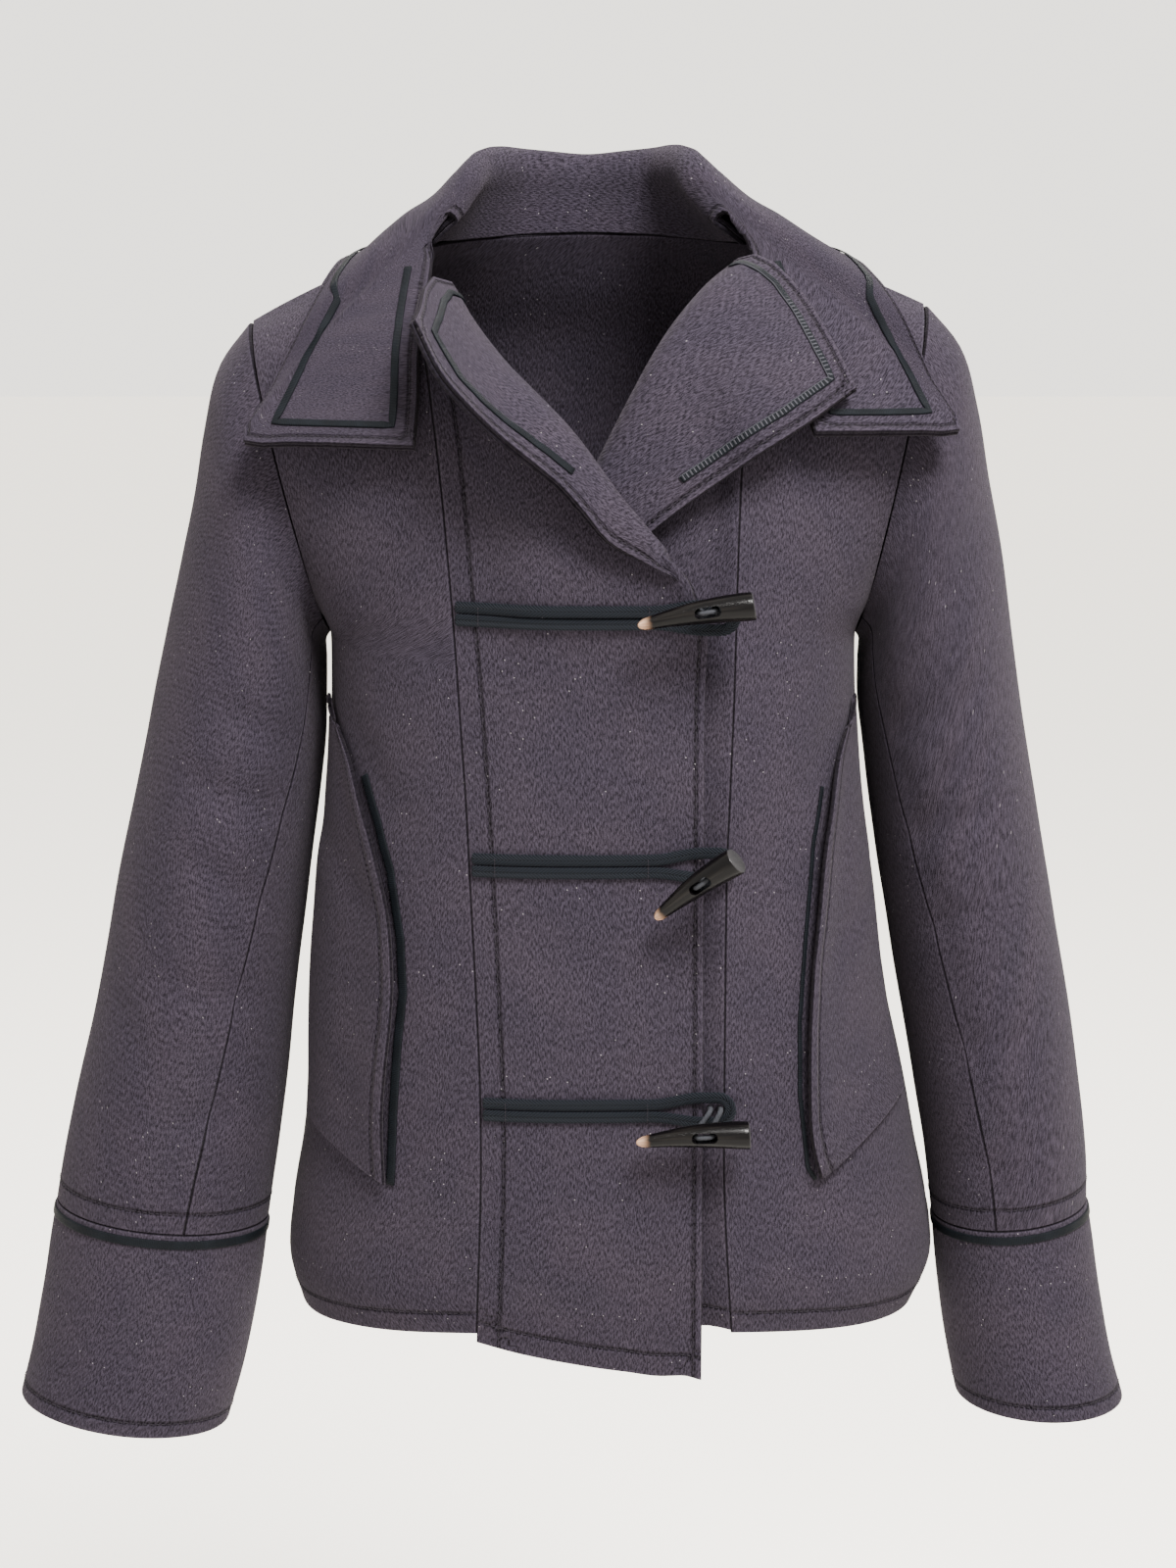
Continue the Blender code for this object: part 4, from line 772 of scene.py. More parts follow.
def band_flat(side):
    """The band from its seam to the roll line, with the height of each row on that line."""
    bottom, top = BODY[0].z_mid - 0.001, ROLLS[side][-1].z
    heights = np.concatenate([np.linspace(bottom, -0.230, 8), np.linspace(-0.207, top, 13)])
    evenly = np.linspace(0, 1, len(BAND_SHARES[side]))
    grid = []
    for z in heights:
        z_start = z + (BAND_TOP_Z - top) * smoothstep(-0.10, top, z)
        start = side * (seam_x(side, z_start) - SEAM_GAP)
        reach = roll_of(side, z).x - start
        shares = evenly + (BAND_SHARES[side] - evenly) * smoothstep(-0.06, -0.12, z)
        grid.append([band_point(side, start + reach * share, z_start + (z - z_start) * share)
                     for share in shares])
    return heights, np.array(grid)


def band_grid(side, under):
    """The band with its lapel: over the fold at the roll line and out to the free edge."""
    heights, flat = band_flat(side)
    grid = np.array([[*row, *lapel_row(side, z)] for z, row in zip(heights, flat)])
    if side == LEFT:
        settle(grid, int(np.sum(heights < LAPEL_REST_Z)), flat.shape[1], under, LAPEL_CLEAR)
    return grid


def bands(under):
    pieces = {}
    for side, word in WORDS.items():
        grid = band_grid(side, under)
        roll = len(BAND_SHARES[side]) - 1
        seam = grid[:, 0].copy()
        row, column = np.indices((len(grid) - 1, grid.shape[1] - 1))
        turned = (side == RIGHT) | (row >= np.sum(grid[:, roll, 2] < LEFT_BREAK_Z))
        keep, facing = turned | (column < roll), turned & (column > FACING_INSIDE)
        if side == LEFT:
            grid, keep, facing = grid[:, ::-1], keep[:, ::-1], facing[:, ::-1]
        normals = normals_of(grid)
        normals[:, -1 if side == LEFT else 0] = [front_normal(x, z) for x, _, z in seam]
        pieces[side] = wall(f"band_{word}", grid, keep=keep, normals=normals)
        behind = -(CLOTH + LAYER) / 2 - LAYER_GAP
        pieces[side, "facing"] = wall(f"facing_{word}", grid, LAYER, behind, keep=facing, normals=normals)
    return pieces


def ring_points(ring, angles):
    """A sleeve's ring: angle 0 is its outer point, 90 its front, 180 its inner point."""
    outer = np.array((ring.out_x, ring.y, ring.out_z))
    inner = np.array((ring.in_x, ring.y, ring.in_z))
    middle, half = (outer + inner) / 2, (outer - inner) / 2
    turn = np.radians(angles)[:, None]
    return middle + half * np.cos(turn) - np.array((0, ring.depth, 0)) * np.sin(turn)


def sleeve(side):
    hole = ARMHOLES[side]
    start = Ring(hole.tip_x, hole.tip_z, hole.pit_x, hole.pit_z, SIDE_Y, hole.front, 152)
    rows = np.array((start,) + SLEEVES[side])
    hole_x = (hole.tip_x + hole.pit_x) / 2
    pieces = {}
    for name, steps in (("upper", 13), ("under", 8)):
        grid = []
        for position in np.append(0.03, np.arange(1, len(rows))):
            ring = Ring(*row_at(rows, position))
            gap = math.degrees(SEAM_GAP / ring.depth)
            first, last = ring.seam, BACK_SEAM_ANGLE
            if name == "upper":
                first, last = BACK_SEAM_ANGLE - 360, ring.seam
            grid.append(ring_points(ring, np.linspace(first + gap, last - gap, steps)) * (side, 1, 1))
        grid = np.array(grid)
        inward = np.clip((hole_x - np.abs(grid[0, :, 0])) / (hole_x - hole.pit_x), 0, 1)
        grid[0, :, 0] += side * (HOLE_GAP + PIT_GAP * inward)
        pieces[name] = wall(f"sleeve_{name}_{WORDS[side]}", grid[:, ::side])
    return pieces


def cuff(side):
    rows = np.array(CUFFS[side])
    rings = [Cuff(*row_at(rows, position)) for position in np.linspace(0, len(rows) - 1, 5)]
    grid = [ring_points(ring, np.arange(0, 360, 15)) * (side, 1, 1) - (0, 0, SEAM_GAP) for ring in rings]
    wall(f"cuff_{WORDS[side]}", np.array(grid)[:, ::side], closed=True)


# The way out of the body starts from its middle, at this share of the width and this height.
# Other cloth is looked for from this far outside a point, and over this reach
HEART_SHARE, HEART_Z = 0.45, -0.16
LOOK_FROM, LOOK_REACH = 0.2, 0.35


def outward(point):
    """The way out of the body from its middle, through a point on the chest or the shoulders."""
    return unit(point - np.array((point[0] * HEART_SHARE, 0.0, HEART_Z)))


def clearance(point, bodies):
    """How far a point lies outside the bodies, measured along the way out."""
    out = outward(point)
    start, far = point + out * LOOK_FROM, 1.0
    for body in bodies:
        hit = body.whole.ray_cast(Vector(start), Vector(-out), LOOK_REACH)
        if hit[0] is not None:
            far = min(far, hit[3] - LOOK_FROM)
    return far


def raise_clear(point, bodies, clear):
    """Moves a point outwards until it is this far clear of the bodies."""
    return point + outward(point) * max(0.0, clear - clearance(point, bodies))


def settle(grid, first_row, first_column, bodies, clear, rounds=3, spread=0.7):
    """Lifts a grid, from this row and column on, until all of each cell is clear of the bodies."""
    steps = np.linspace(0, 1, 5)
    for _ in range(rounds):
        lift = np.zeros(grid.shape[:2])
        for row in range(first_row, len(grid) - 1):
            for column in range(first_column, grid.shape[1] - 1):
                near, far = grid[row, column:column + 2], grid[row + 1, column:column + 2]
                need = 0.0
                for u, v in itertools.product(steps, steps):
                    low, high = (pair[0] * (1 - u) + pair[1] * u for pair in (near, far))
                    need = max(need, clear - clearance(low * (1 - v) + high * v, bodies))
                cell = lift[row:row + 2, column:column + 2]
                lift[row:row + 2, column:column + 2] = np.maximum(cell, need)
        wide = np.pad(lift, 1) * spread
        lift = np.max([lift, wide[:-2, 1:-1], wide[2:, 1:-1], wide[1:-1, :-2], wide[1:-1, 2:]], axis=0)
        lift[:first_row], lift[:, :first_column] = 0, 0
        for row, column in np.argwhere(lift > 0):
            grid[row, column] += outward(grid[row, column]) * lift[row, column]


def bare(grid):
    """A grid as a body with no thickness, for other cloth to lie over."""
    rows, columns = grid.shape[:2]
    cells = cells_of(np.ones((rows - 1, columns - 1), bool), columns)
    tree = BVHTree.FromPolygons(grid.reshape(-1, 3).tolist(), cells)
    return Cloth(grid, None, tree, tree, tree)


def collar_grid(bodies):
    rows = []
    for side in (RIGHT, LEFT):
        half, mirror = [], np.array((side, 1, 1))
        edges = np.array(COLLAR_EDGES[side])
        for at in COLLAR_ROWS:
            base = Collar(*row_at(np.array(COLLAR), at))
            edge = row_at(edges, at) if at <= 5 else edges[5] + (edges[6] - edges[5]) * (at - 5)
            neck, fold, edge = np.array(base[:3]) * mirror, np.array(base[3:]) * mirror, edge * mirror
            out = unit((edge - fold) * (1, 1, 0))
            sideways = unit(np.array((side, -0.45, 0)))
            out = unit(out + (sideways - out) * smoothstep(4.5, 5.5, at))
            away = fold + out * ROLL_OUT - np.array((0, 0, ROLL_DROP))
            lean = float(row_at(COLLAR_LEAN[side], at))
            inner = fold - out * lean
            top = fold + out * (ROLL_TOP - lean / 2) + np.array((0, 0, lean * 0.2))
            row = [neck, neck + (inner - neck) * 0.5, neck + (inner - neck) * 0.85, top, away]
            row += [raise_clear(away + (edge - away) * share, bodies, COLLAR_CLEAR)
                    for share in (0.2, 0.4, 0.6, 0.8, 1.0)]
            half.append(row)
        rows.append(half[::-1] if side == LEFT else half[1:])
    grid = np.array(rows[1] + rows[0])
    settle(grid, 0, 5, bodies, COLLAR_CLEAR)
    return grid


def collar(bodies):
    grid = collar_grid(bodies)
    shift = (LAYER + LAYER_GAP) / 2
    under = wall("under_collar", grid, LAYER, -shift)
    return under, wall("upper_collar", grid, LAYER, shift)


def surface(bodies, point):
    """The nearest place on the bodies' outer faces, and the way out of them there."""
    found = []
    for body in bodies:
        place, normal, _, distance = body.find_nearest(Vector(point))
        if place is not None:
            found.append((distance, np.array(place), np.array(normal)))
    _, place, normal = min(found, key=lambda item: item[0])
    return place, normal


def inset(edge, outs, distance):
    """A path this far inside an edge, mitred at its corners."""
    edge = np.asarray(edge)
    ahead = unit(np.diff(edge, axis=0))
    ahead = np.concatenate([ahead[:1], ahead, ahead[-1:]])
    path = []
    for i, (point, out) in enumerate(zip(edge, outs)):
        first, second = (unit(np.cross(out, ahead[j])) for j in (i, i + 1))
        middle = unit(first + second)
        path.append(point + middle * distance / max(0.5, float(np.dot(middle, first))))
    return np.array(path)


def even(path, step):
    """The same path with points this far apart, and its corners kept."""
    points = [path[0]]
    for start, end in zip(path[:-1], path[1:]):
        count = max(1, round(np.linalg.norm(end - start) / step))
        points += [start + (end - start) * i / count for i in range(1, count + 1)]
    return np.array(points)


def ahead_of(body, x, z):
    """The first place on a body straight behind a point in front of it."""
    place = body.outer.ray_cast(Vector((x, -0.4, z)), Vector((0, 1, 0)), 0.6)[0]
    return place.y


def frame_along(path):
    """A side direction for each point, carried along the path without twist."""
    ahead = unit(np.gradient(path, axis=0))
    up = unit(np.cross(ahead[0], (1.0, 0.3, 0.2)))
    ups = []
    for way in ahead:
        up = unit(up - way * np.dot(up, way))
        ups.append(up)
    return ups


# Stitched lines of each node: which edge of its grid a line follows, and how far from it
EDGE_STITCH, HEM_STITCH, SLEEVE_STITCH = 4.2 * MM, 13 * MM, 12 * MM
STITCHED = {
    "upper_collar": {"last": EDGE_STITCH, "low": EDGE_STITCH, "high": EDGE_STITCH},
    "facing_right": {"last": EDGE_STITCH, "high": EDGE_STITCH},
    "facing_left": {"first": EDGE_STITCH, "high": EDGE_STITCH},
    "band_right": {"first": 12 * MM, "last": 5 * MM, "low": HEM_STITCH},
    "band_left": {"low": HEM_STITCH},
    "front_right": {"low": HEM_STITCH},
    "front_left": {"low": HEM_STITCH},
    "back": {"low": HEM_STITCH},
    "pocket_right": {"last": 7 * MM},
    "pocket_left": {"first": 7 * MM},
    **{f"sleeve_{part}_{word}": {"high": SLEEVE_STITCH}
       for word in WORDS.values() for part in ("upper", "under")},
    **{f"cuff_{word}": {"high": 9 * MM} for word in WORDS.values()},
}
STITCH_PITCH, STITCH_LONG, STITCH_RADIUS, STITCH_SINK = 3.4 * MM, 2.5 * MM, 0.30 * MM, 0.12 * MM
STITCH_RINGS = ((-0.5, 0.25), (-0.28, 0.85), (0.0, 1.0), (0.28, 0.85), (0.5, 0.25))
STITCH_SIDES, BAR_PITCH = 6, 2.0 * MM


# Colours: where there are two, the cloth, the horn or the floor varies between them
WOOL_COLOURS = (0.0158, 0.0132, 0.0190, 1), (0.0174, 0.0143, 0.0199, 1)
LINT_COLOUR = (0.34, 0.32, 0.33, 1)
RIBBON_COLOUR, LADDER_COLOUR = (0.0022, 0.0029, 0.0040, 1), (0.026, 0.026, 0.031, 1)
BRAID_COLOUR = (0.0050, 0.0062, 0.0086, 1)
HORN_BODY = (0.0014, 0.0012, 0.0014, 1), (0.0050, 0.0043, 0.0040, 1)
HORN_TIP = (0.16, 0.085, 0.050, 1), (0.40, 0.26, 0.18, 1)
HORN_BUTT = (0.012, 0.012, 0.013, 1), (0.028, 0.027, 0.028, 1)
FLOOR_COLOURS = (0.80, 0.772, 0.720, 1), (0.82, 0.790, 0.740, 1)
AIR, FLOOR_GLOW = (0.80, 0.770, 0.715, 1), 0.8
# The way of the nap and of the twill, in degrees, and how the braid's strands lie
TWILL_TURN = 38
BRAID_SLANT, BRAID_PITCH = 1.35, 1.9 * MM


def add_node(tree, kind, inputs=None, **settings):
    made = tree.nodes.new(kind)
    for key, value in settings.items():
        setattr(made, key, value)
    for key, value in (inputs or {}).items():
        if isinstance(value, bpy.types.NodeSocket):
            tree.links.new(value, made.inputs[key])
        else:
            made.inputs[key].default_value = value
    return made


class Look:
    """A material in the making, with short ways to add the nodes that it needs."""

    def __init__(self, name):
        self.made = bpy.data.materials.new(name)
        self.made.use_nodes = True
        self.tree = self.made.node_tree
        self.shader = self.tree.nodes["Principled BSDF"]
        self.grain = add_node(self.tree, "ShaderNodeUVMap", uv_map="grain").outputs["UV"]

    def value(self, name):
        return add_node(self.tree, "ShaderNodeAttribute", attribute_name=name).outputs["Fac"]

    def math(self, operation, first, second=0.0, third=0.0):
        return add_node(self.tree, "ShaderNodeMath", {0: first, 1: second, 2: third},
                        operation=operation).outputs[0]

    def times(self, first, second):
        return self.math("MULTIPLY", first, second)

    def plus(self, base, *terms):
        """The base with each (value, share) of the terms added to it."""
        for value, share in terms:
            base = self.math("MULTIPLY_ADD", value, share, base)
        return base

    def waves(self, along, pitch):
        return self.math("SINE", self.times(along, 2 * math.pi / pitch))

    def span(self, value, low, high, to_low=0.0, to_high=1.0):
        ends = {"Value": value, "From Min": low, "From Max": high, "To Min": to_low, "To Max": to_high}
        return add_node(self.tree, "ShaderNodeMapRange", ends,
                        interpolation_type="SMOOTHSTEP").outputs["Result"]

    def near(self, value, place, low, high):
        """1 where a value lies within low of a place, and 0 where it lies beyond high."""
        return self.span(self.math("ABSOLUTE", self.math("SUBTRACT", value, place)), low, high, 1.0, 0.0)

    def placed(self, turn=0.0, scale=(1.0, 1.0, 1.0)):
        return add_node(self.tree, "ShaderNodeMapping", {
            "Vector": self.grain, "Rotation": (0, 0, math.radians(turn)), "Scale": scale}).outputs[0]

    def noise(self, size, detail=2.0, vector=None):
        return add_node(self.tree, "ShaderNodeTexNoise", {
            "Vector": vector or self.grain, "Scale": 1 / size, "Detail": detail, "Roughness": 0.5},
            noise_dimensions="2D").outputs["Fac"]

    def mix(self, share, first, second):
        return add_node(self.tree, "ShaderNodeMix", {0: share, 6: first, 7: second},
                        data_type="RGBA").outputs[2]

    def tint(self, colour, factor):
        """The colour made darker or lighter by a factor."""
        colour = colour[:3] if isinstance(colour, tuple) else colour
        return add_node(self.tree, "ShaderNodeVectorMath", {0: colour, "Scale": factor},
                        operation="SCALE").outputs[0]

    def split(self, vector):
        return add_node(self.tree, "ShaderNodeSeparateXYZ", {0: vector}).outputs

    def finish(self, bump=None, strength=1.0, **inputs):
        """Sets the shader's inputs, and its bump from a height in millimetres."""
        if bump is not None:
            inputs["Normal"] = add_node(self.tree, "ShaderNodeBump", {
                "Height": bump, "Strength": strength, "Distance": MM}).outputs[0]
        for key, value in inputs.items():
            socket = self.shader.inputs[key.replace("_", " ")]
            if isinstance(value, bpy.types.NodeSocket):
                self.tree.links.new(value, socket)
            else:
                socket.default_value = value
        return self.made


def wool_look():
    """Milled wool: a slanting nap over a faint twill, a few flecks of lint, and painted shade: a dark line
    along every seam and edge, and darker stitched grooves.
    """
    look = Look("wool")
    slant = look.placed(TWILL_TURN)
    fibres = look.noise(0.42 * MM, 2.0, slant)
    nap = look.noise(1.0, 2.0, look.placed(TWILL_TURN, (1 / (0.8 * MM), 1 / (2.6 * MM), 1)))
    tufts = look.noise(3.4 * MM, 2.0, look.placed(-20, (1.0, 0.7, 1)))
    clouds = look.noise(38 * MM, 3.0)
    ribs = look.waves(look.split(slant)[0], 2.3 * MM)
    border = look.value("edge")
    edge = look.span(border, 0.2 * MM, 2.2 * MM, 1.0, 0.0)
    # The stitched grooves are dented by the bump and also darkened in colour with painted shade.
    groove = look.near(look.value("groove"), 0.0, 0.3 * MM, 1.9 * MM)
    shade = look.plus(0.12, (look.span(nap, 0.30, 0.70), 0.85), (look.span(fibres, 0.30, 0.70), 0.70),
                      (ribs, 0.09), (look.span(tufts, 0.3, 0.7), 0.12), (look.span(clouds, 0.3, 0.7), 0.05),
                      (edge, 0.30), (groove, -0.45))
    # Painted shade: the colour darkens to a thin dark line along every seam and edge of the cloth.
    shade = look.times(shade, look.span(border, 0.25 * MM, 0.85 * MM, 0.22, 1.0))
    colour = look.tint(look.mix(look.span(clouds, 0.25, 0.75), *WOOL_COLOURS), shade)
    specks = add_node(look.tree, "ShaderNodeTexVoronoi",
                      {"Vector": look.grain, "Scale": 1 / (9 * MM), "Randomness": 1.0},
                      voronoi_dimensions="2D").outputs["Distance"]
    rare = look.span(look.noise(21 * MM, 0.0), 0.66, 0.72)
    lint = look.times(look.times(look.span(specks, 0.022, 0.040, 1.0, 0.0), rare), 0.40)
    height = look.plus(look.times(nap, 0.46), (fibres, 0.16), (tufts, 0.34), (ribs, 0.035), (groove, -1.25))
    return look.finish(height, 0.85, Base_Color=look.mix(lint, colour, LINT_COLOUR), Roughness=0.94,
                       Sheen_Weight=0.03, Sheen_Roughness=0.45, Sheen_Tint=(0.80, 0.72, 0.80, 1),
                       Specular_IOR_Level=0.02)


RIBBON_PITCH, RUNG_PITCH, LADDER_FROM = 0.95 * MM, 2.3 * MM, 38 * MM


def ribbon_look(name):
    """A woven tape: ribs across it, and finer threads in them. The ladder tape has rungs and a rail
    of light thread."""
    look = Look(name)
    along, across, _ = look.split(look.grain)
    ribs = look.waves(along, RIBBON_PITCH)
    threads = look.noise(1.0, 1.0, look.placed(0, (1 / (0.9 * MM), 1 / (0.16 * MM), 1)))
    worn = look.span(look.noise(11 * MM, 2.0), 0.35, 0.75)
    shade = look.plus(look.span(threads, 0.2, 0.8, 0.65, 1.25), (ribs, 0.16), (worn, 0.35))
    colour = look.tint(RIBBON_COLOUR, shade)
    if name == "ladder":
        rungs = look.times(look.span(look.waves(along, RUNG_PITCH), 0.35, 0.75),
                           look.near(across, RIBBON_WIDE / 2, 1.15 * MM, 1.5 * MM))
        rungs = look.times(rungs, look.span(along, LADDER_FROM, LADDER_FROM + 4 * MM))
        rail = look.times(look.near(across, 0.35 * MM, 0.15 * MM, 0.35 * MM), 0.8)
        colour = look.mix(look.math("MAXIMUM", rungs, rail), colour, LADDER_COLOUR)
    height = look.plus(look.times(ribs, 0.06), (threads, 0.05))
    return look.finish(height, Base_Color=colour, Roughness=0.62, Specular_IOR_Level=0.05)


def braid_look():
    """A flat braid: two sets of strands that meet in a row of V shapes along its middle."""
    look = Look("braid")
    along, across, _ = look.split(look.grain)
    across = look.math("ABSOLUTE", across)
    strands = look.waves(look.plus(along, (across, BRAID_SLANT)), BRAID_PITCH)
    # Painted shade: the colour is darker along the braid's middle, where its strands dip into a groove.
    middle = look.span(across, 0.15 * MM, 0.8 * MM)
    fibres = look.noise(0.30 * MM, 2.0)
    shade = look.plus(look.span(fibres, 0.2, 0.8, 0.45, 1.15), (strands, 0.42), (middle, 0.22))
    height = look.plus(look.times(strands, 0.30), (middle, 0.35), (fibres, 0.12))
    return look.finish(height, Base_Color=look.tint(BRAID_COLOUR, shade), Roughness=0.7,
                       Specular_IOR_Level=0.06)


def horn_look():
    """Polished horn: a pale tip, a black body with faint streaks, and a dull grey butt."""
    look = Look("horn")
    along = look.split(look.grain)[0]
    streaks = look.noise(1.0, 3.0, look.placed(0, (1.6, 9.0, 1)))
    ragged = look.plus(look.math("SUBTRACT", along, 0.035), (streaks, 0.07))
    pale = look.span(ragged, 0.015, 0.13, 1.0, 0.0)
    body = look.mix(look.span(streaks, 0.45, 0.75), *HORN_BODY)
    tip = look.mix(look.span(streaks, 0.3, 0.7), *HORN_TIP)
    butt = look.span(along, 0.985, 1.0)
    colour = look.mix(butt, look.mix(pale, body, tip), look.mix(look.noise(0.03, 2.0), *HORN_BUTT))
    fine = look.noise(0.012, 3.0, look.placed(0, (0.6, 4.0, 1)))
    return look.finish(look.times(fine, 0.05), 0.6, Base_Color=colour,
                       Roughness=look.plus(0.12, (fine, 0.12), (butt, 0.25)), Specular_IOR_Level=0.06,
                       Coat_Weight=0.07, Coat_Roughness=0.04)


def thread_look(name, colour, roughness, spread):
    """Spun thread: lighter and darker fibres along it."""
    look = Look(name)
    fibres = look.noise(0.35 * MM, 2.0)
    shade = look.span(fibres, 0.2, 0.8, 1 - spread, 1 + spread)
    return look.finish(look.times(fibres, 0.08), Base_Color=look.tint(colour, shade), Roughness=roughness,
                       Specular_IOR_Level=0.08)


def floor_look():
    look = Look("floor")
    uneven = add_node(look.tree, "ShaderNodeTexNoise", {"Scale": 1.5, "Detail": 2.0}).outputs["Fac"]
    return look.finish(Base_Color=look.mix(uneven, *FLOOR_COLOURS), Roughness=0.95, Emission_Color=AIR,
                       Emission_Strength=FLOOR_GLOW)


LOOKS = {
    "wool": wool_look(),
    "ribbon": ribbon_look("ribbon"),
    "ladder": ribbon_look("ladder"),
    "braid": braid_look(),
    "horn": horn_look(),
    "cord": thread_look("cord", (0.020, 0.021, 0.025, 1), 0.8, 0.35),
    "thread": thread_look("thread", (0.0100, 0.0083, 0.0112, 1), 0.6, 0.25),
    "floor": floor_look(),
}


def runs_of(path):
    """A path's smooth stretches, parted where it turns sharply."""
    ahead = unit(np.diff(path, axis=0))
    sharp = [i + 1 for i in range(len(ahead) - 1) if np.dot(ahead[i], ahead[i + 1]) < 0.82]
    ends = [0, *sharp, len(path) - 1]
    return [(low, high) for low, high in zip(ends[:-1], ends[1:]) if high > low]


def smoothed(path, rounds):
    """The same path with its small waves taken out, and its sharp turns kept."""
    path = path.copy()
    for low, high in runs_of(path):
        for _ in range(rounds):
            run = path[low:high + 1]
            path[low + 1:high] = (run[:-2] + 2 * run[1:-1] + run[2:]) / 4
    return path


def finer(values, step):
    """The same path with points this far apart, smooth between its sharp turns."""
    parts = []
    for low, high in runs_of(values[:, :3]):
        run = values[low:high + 1]
        keys = lengths(run[:, :3]) + np.arange(len(run)) * KEY_STEP
        curve = curve_through(run, keys, np.linspace(0, keys[-1], max(2, round(keys[-1] / step) + 1)))
        parts.append(curve if low == 0 else curve[1:])
    return np.concatenate(parts)


def strip_faces(steps, sides):
    """The faces of a closed strip with this many corners at each step."""
    ends = [tuple(range(sides - 1, -1, -1)), tuple(range((steps - 1) * sides, steps * sides))]
    return cells_of(np.ones((steps - 1, sides), bool), sides) + ends


def tube_mesh(rings):
    """The points and the faces of a closed strip through rings of points, all facing outwards."""
    faces = strip_faces(*rings.shape[:2])
    points = rings.reshape(-1, 3)
    centre = points.mean(axis=0)
    a, b, c, d = (points[corners] - centre for corners in np.array(faces[:-2]).T)
    volume = np.sum(a * np.cross(b, c)) + np.sum(a * np.cross(c, d))
    return points, [face[::-1] for face in faces] if volume < 0 else faces


# Ribbon: its section's places across and heights, and how much of the gap under it stays open
RIBBON_STEP, RIBBON_SEAT = 2.0 * MM, 0.35
RIBBON_CROWN = ((0.0, 0.50), (0.05, 0.90), (0.20, 1.0), (0.5, 1.0), (0.80, 1.0), (0.95, 0.90), (1.0, 0.50))


def tape(low, high, lean, run, wide):
    """The sections of a tape between its two edges, and where each point lies on it."""
    crown = np.array(RIBBON_CROWN)
    low, high, lean = (values[:, None] for values in (low, high, lean))
    tops = low + (high - low) * crown[:, :1] + lean * RIBBON_THICK * crown[:, 1:]
    widths = np.append(crown[:, 0], [1, 0]) * wide
    uvs = np.stack(np.broadcast_arrays(run[:, None], widths), axis=-1).reshape(-1, 2)
    return np.concatenate([tops, high, low], axis=1), uvs


def ribbon(name, path, outs, bodies, wide=RIBBON_WIDE, gap=LAYER_GAP, look="ribbon"):
    """A flat woven strip laid along a path on the bodies' outer faces."""
    ahead = unit(np.gradient(path, axis=0))
    edges, leans = np.zeros((2, len(path), 3)), np.zeros((2, len(path), 3))
    for step, (point, way, out) in enumerate(zip(path, ahead, outs)):
        place, normal = surface(bodies, point)
        normal = normal if np.dot(normal, out) > 0 else -normal
        across = unit(np.cross(normal, way)) * wide / 2
        for i, side in enumerate((-1, 1)):
            foot, lean = surface(bodies, place + across * side)
            lean = lean if np.dot(lean, out) > 0 else -lean
            edges[i, step], leans[i, step] = foot + lean * gap * RIBBON_SEAT, lean
    values = finer(np.concatenate([*edges, *leans], axis=1), RIBBON_STEP)
    lean = unit(values[:, 6:9] + values[:, 9:])
    rings, uvs = tape(values[:, :3], values[:, 3:6], lean, lengths(values[:, :3]), wide)
    mesh_piece(f"{name}_tape", *tube_mesh(rings), look, name, slot="ribbon", uvs=uvs)


def sweep(name, path, ups, wide, thick, look, step, sides, ply=None):
    """A cord or flat braid of oval section along a path; ups are the directions of its thickness."""
    values = finer(np.concatenate([path, np.asarray(ups) * 1.0], axis=1), step)
    path, ups = values[:, :3], unit(values[:, 3:])
    ahead = unit(np.gradient(path, axis=0))
    across = unit(np.cross(ahead, ups))
    ups = np.cross(across, ahead)
    run = lengths(path)
    turns = np.arange(sides) * 2 * math.pi / sides
    radii = ply(run[:, None], turns[None, :]) if ply else np.ones((len(path), sides))
    ends = np.minimum(run, run[-1] - run) / (0.4 * thick)
    radii = radii * np.sqrt(np.clip(1 - (1 - np.clip(ends, 0.05, 1)) ** 2, 0.05, 1))[:, None]
    rings = path[:, None] + (across[:, None] * (wide / 2 * radii * np.cos(turns))[..., None]
                             + ups[:, None] * (thick / 2 * radii * np.sin(turns))[..., None])
    points, faces = tube_mesh(rings)
    offsets = np.broadcast_to(np.cos(turns) * wide / 2, radii.shape)
    uvs = np.stack([np.broadcast_to(run[:, None], radii.shape), offsets], axis=-1).reshape(-1, 2)
    mesh_piece(f"{name}_{look}", points, faces, look, name, uvs=uvs)


def braided(run, turn):
    """The bulges of a flat braid's strands, which run to its middle from both sides."""
    slanted = run + np.abs(np.cos(turn)) * LANE_WIDE / 2 * BRAID_SLANT
    groove = np.exp(-((np.cos(turn) / 0.16) ** 2))
    return 1 + 0.07 * np.sin(slanted * 2 * math.pi / BRAID_PITCH) - 0.10 * groove


def twisted(run, turn):
    """The bulges of a cord of three twisted strands."""
    return 0.86 + 0.14 * np.abs(np.cos(1.5 * (turn - run * 2 * math.pi / (6.5 * MM))))


# Straps: where their two lanes part, where the right front ends under them, and their gap over the
# cloth; the length of the cords' cells; how far from the band seam the first bar is sewn
STRAP_FLAT_X, OVERLAP_X, STRAP_GAP = 0.0330, 0.052, 0.35 * MM
BRAID_STEP, CORD_STEP = 0.45 * MM, 0.4 * MM
STRAP_BAR = 12 * MM
BARS = []


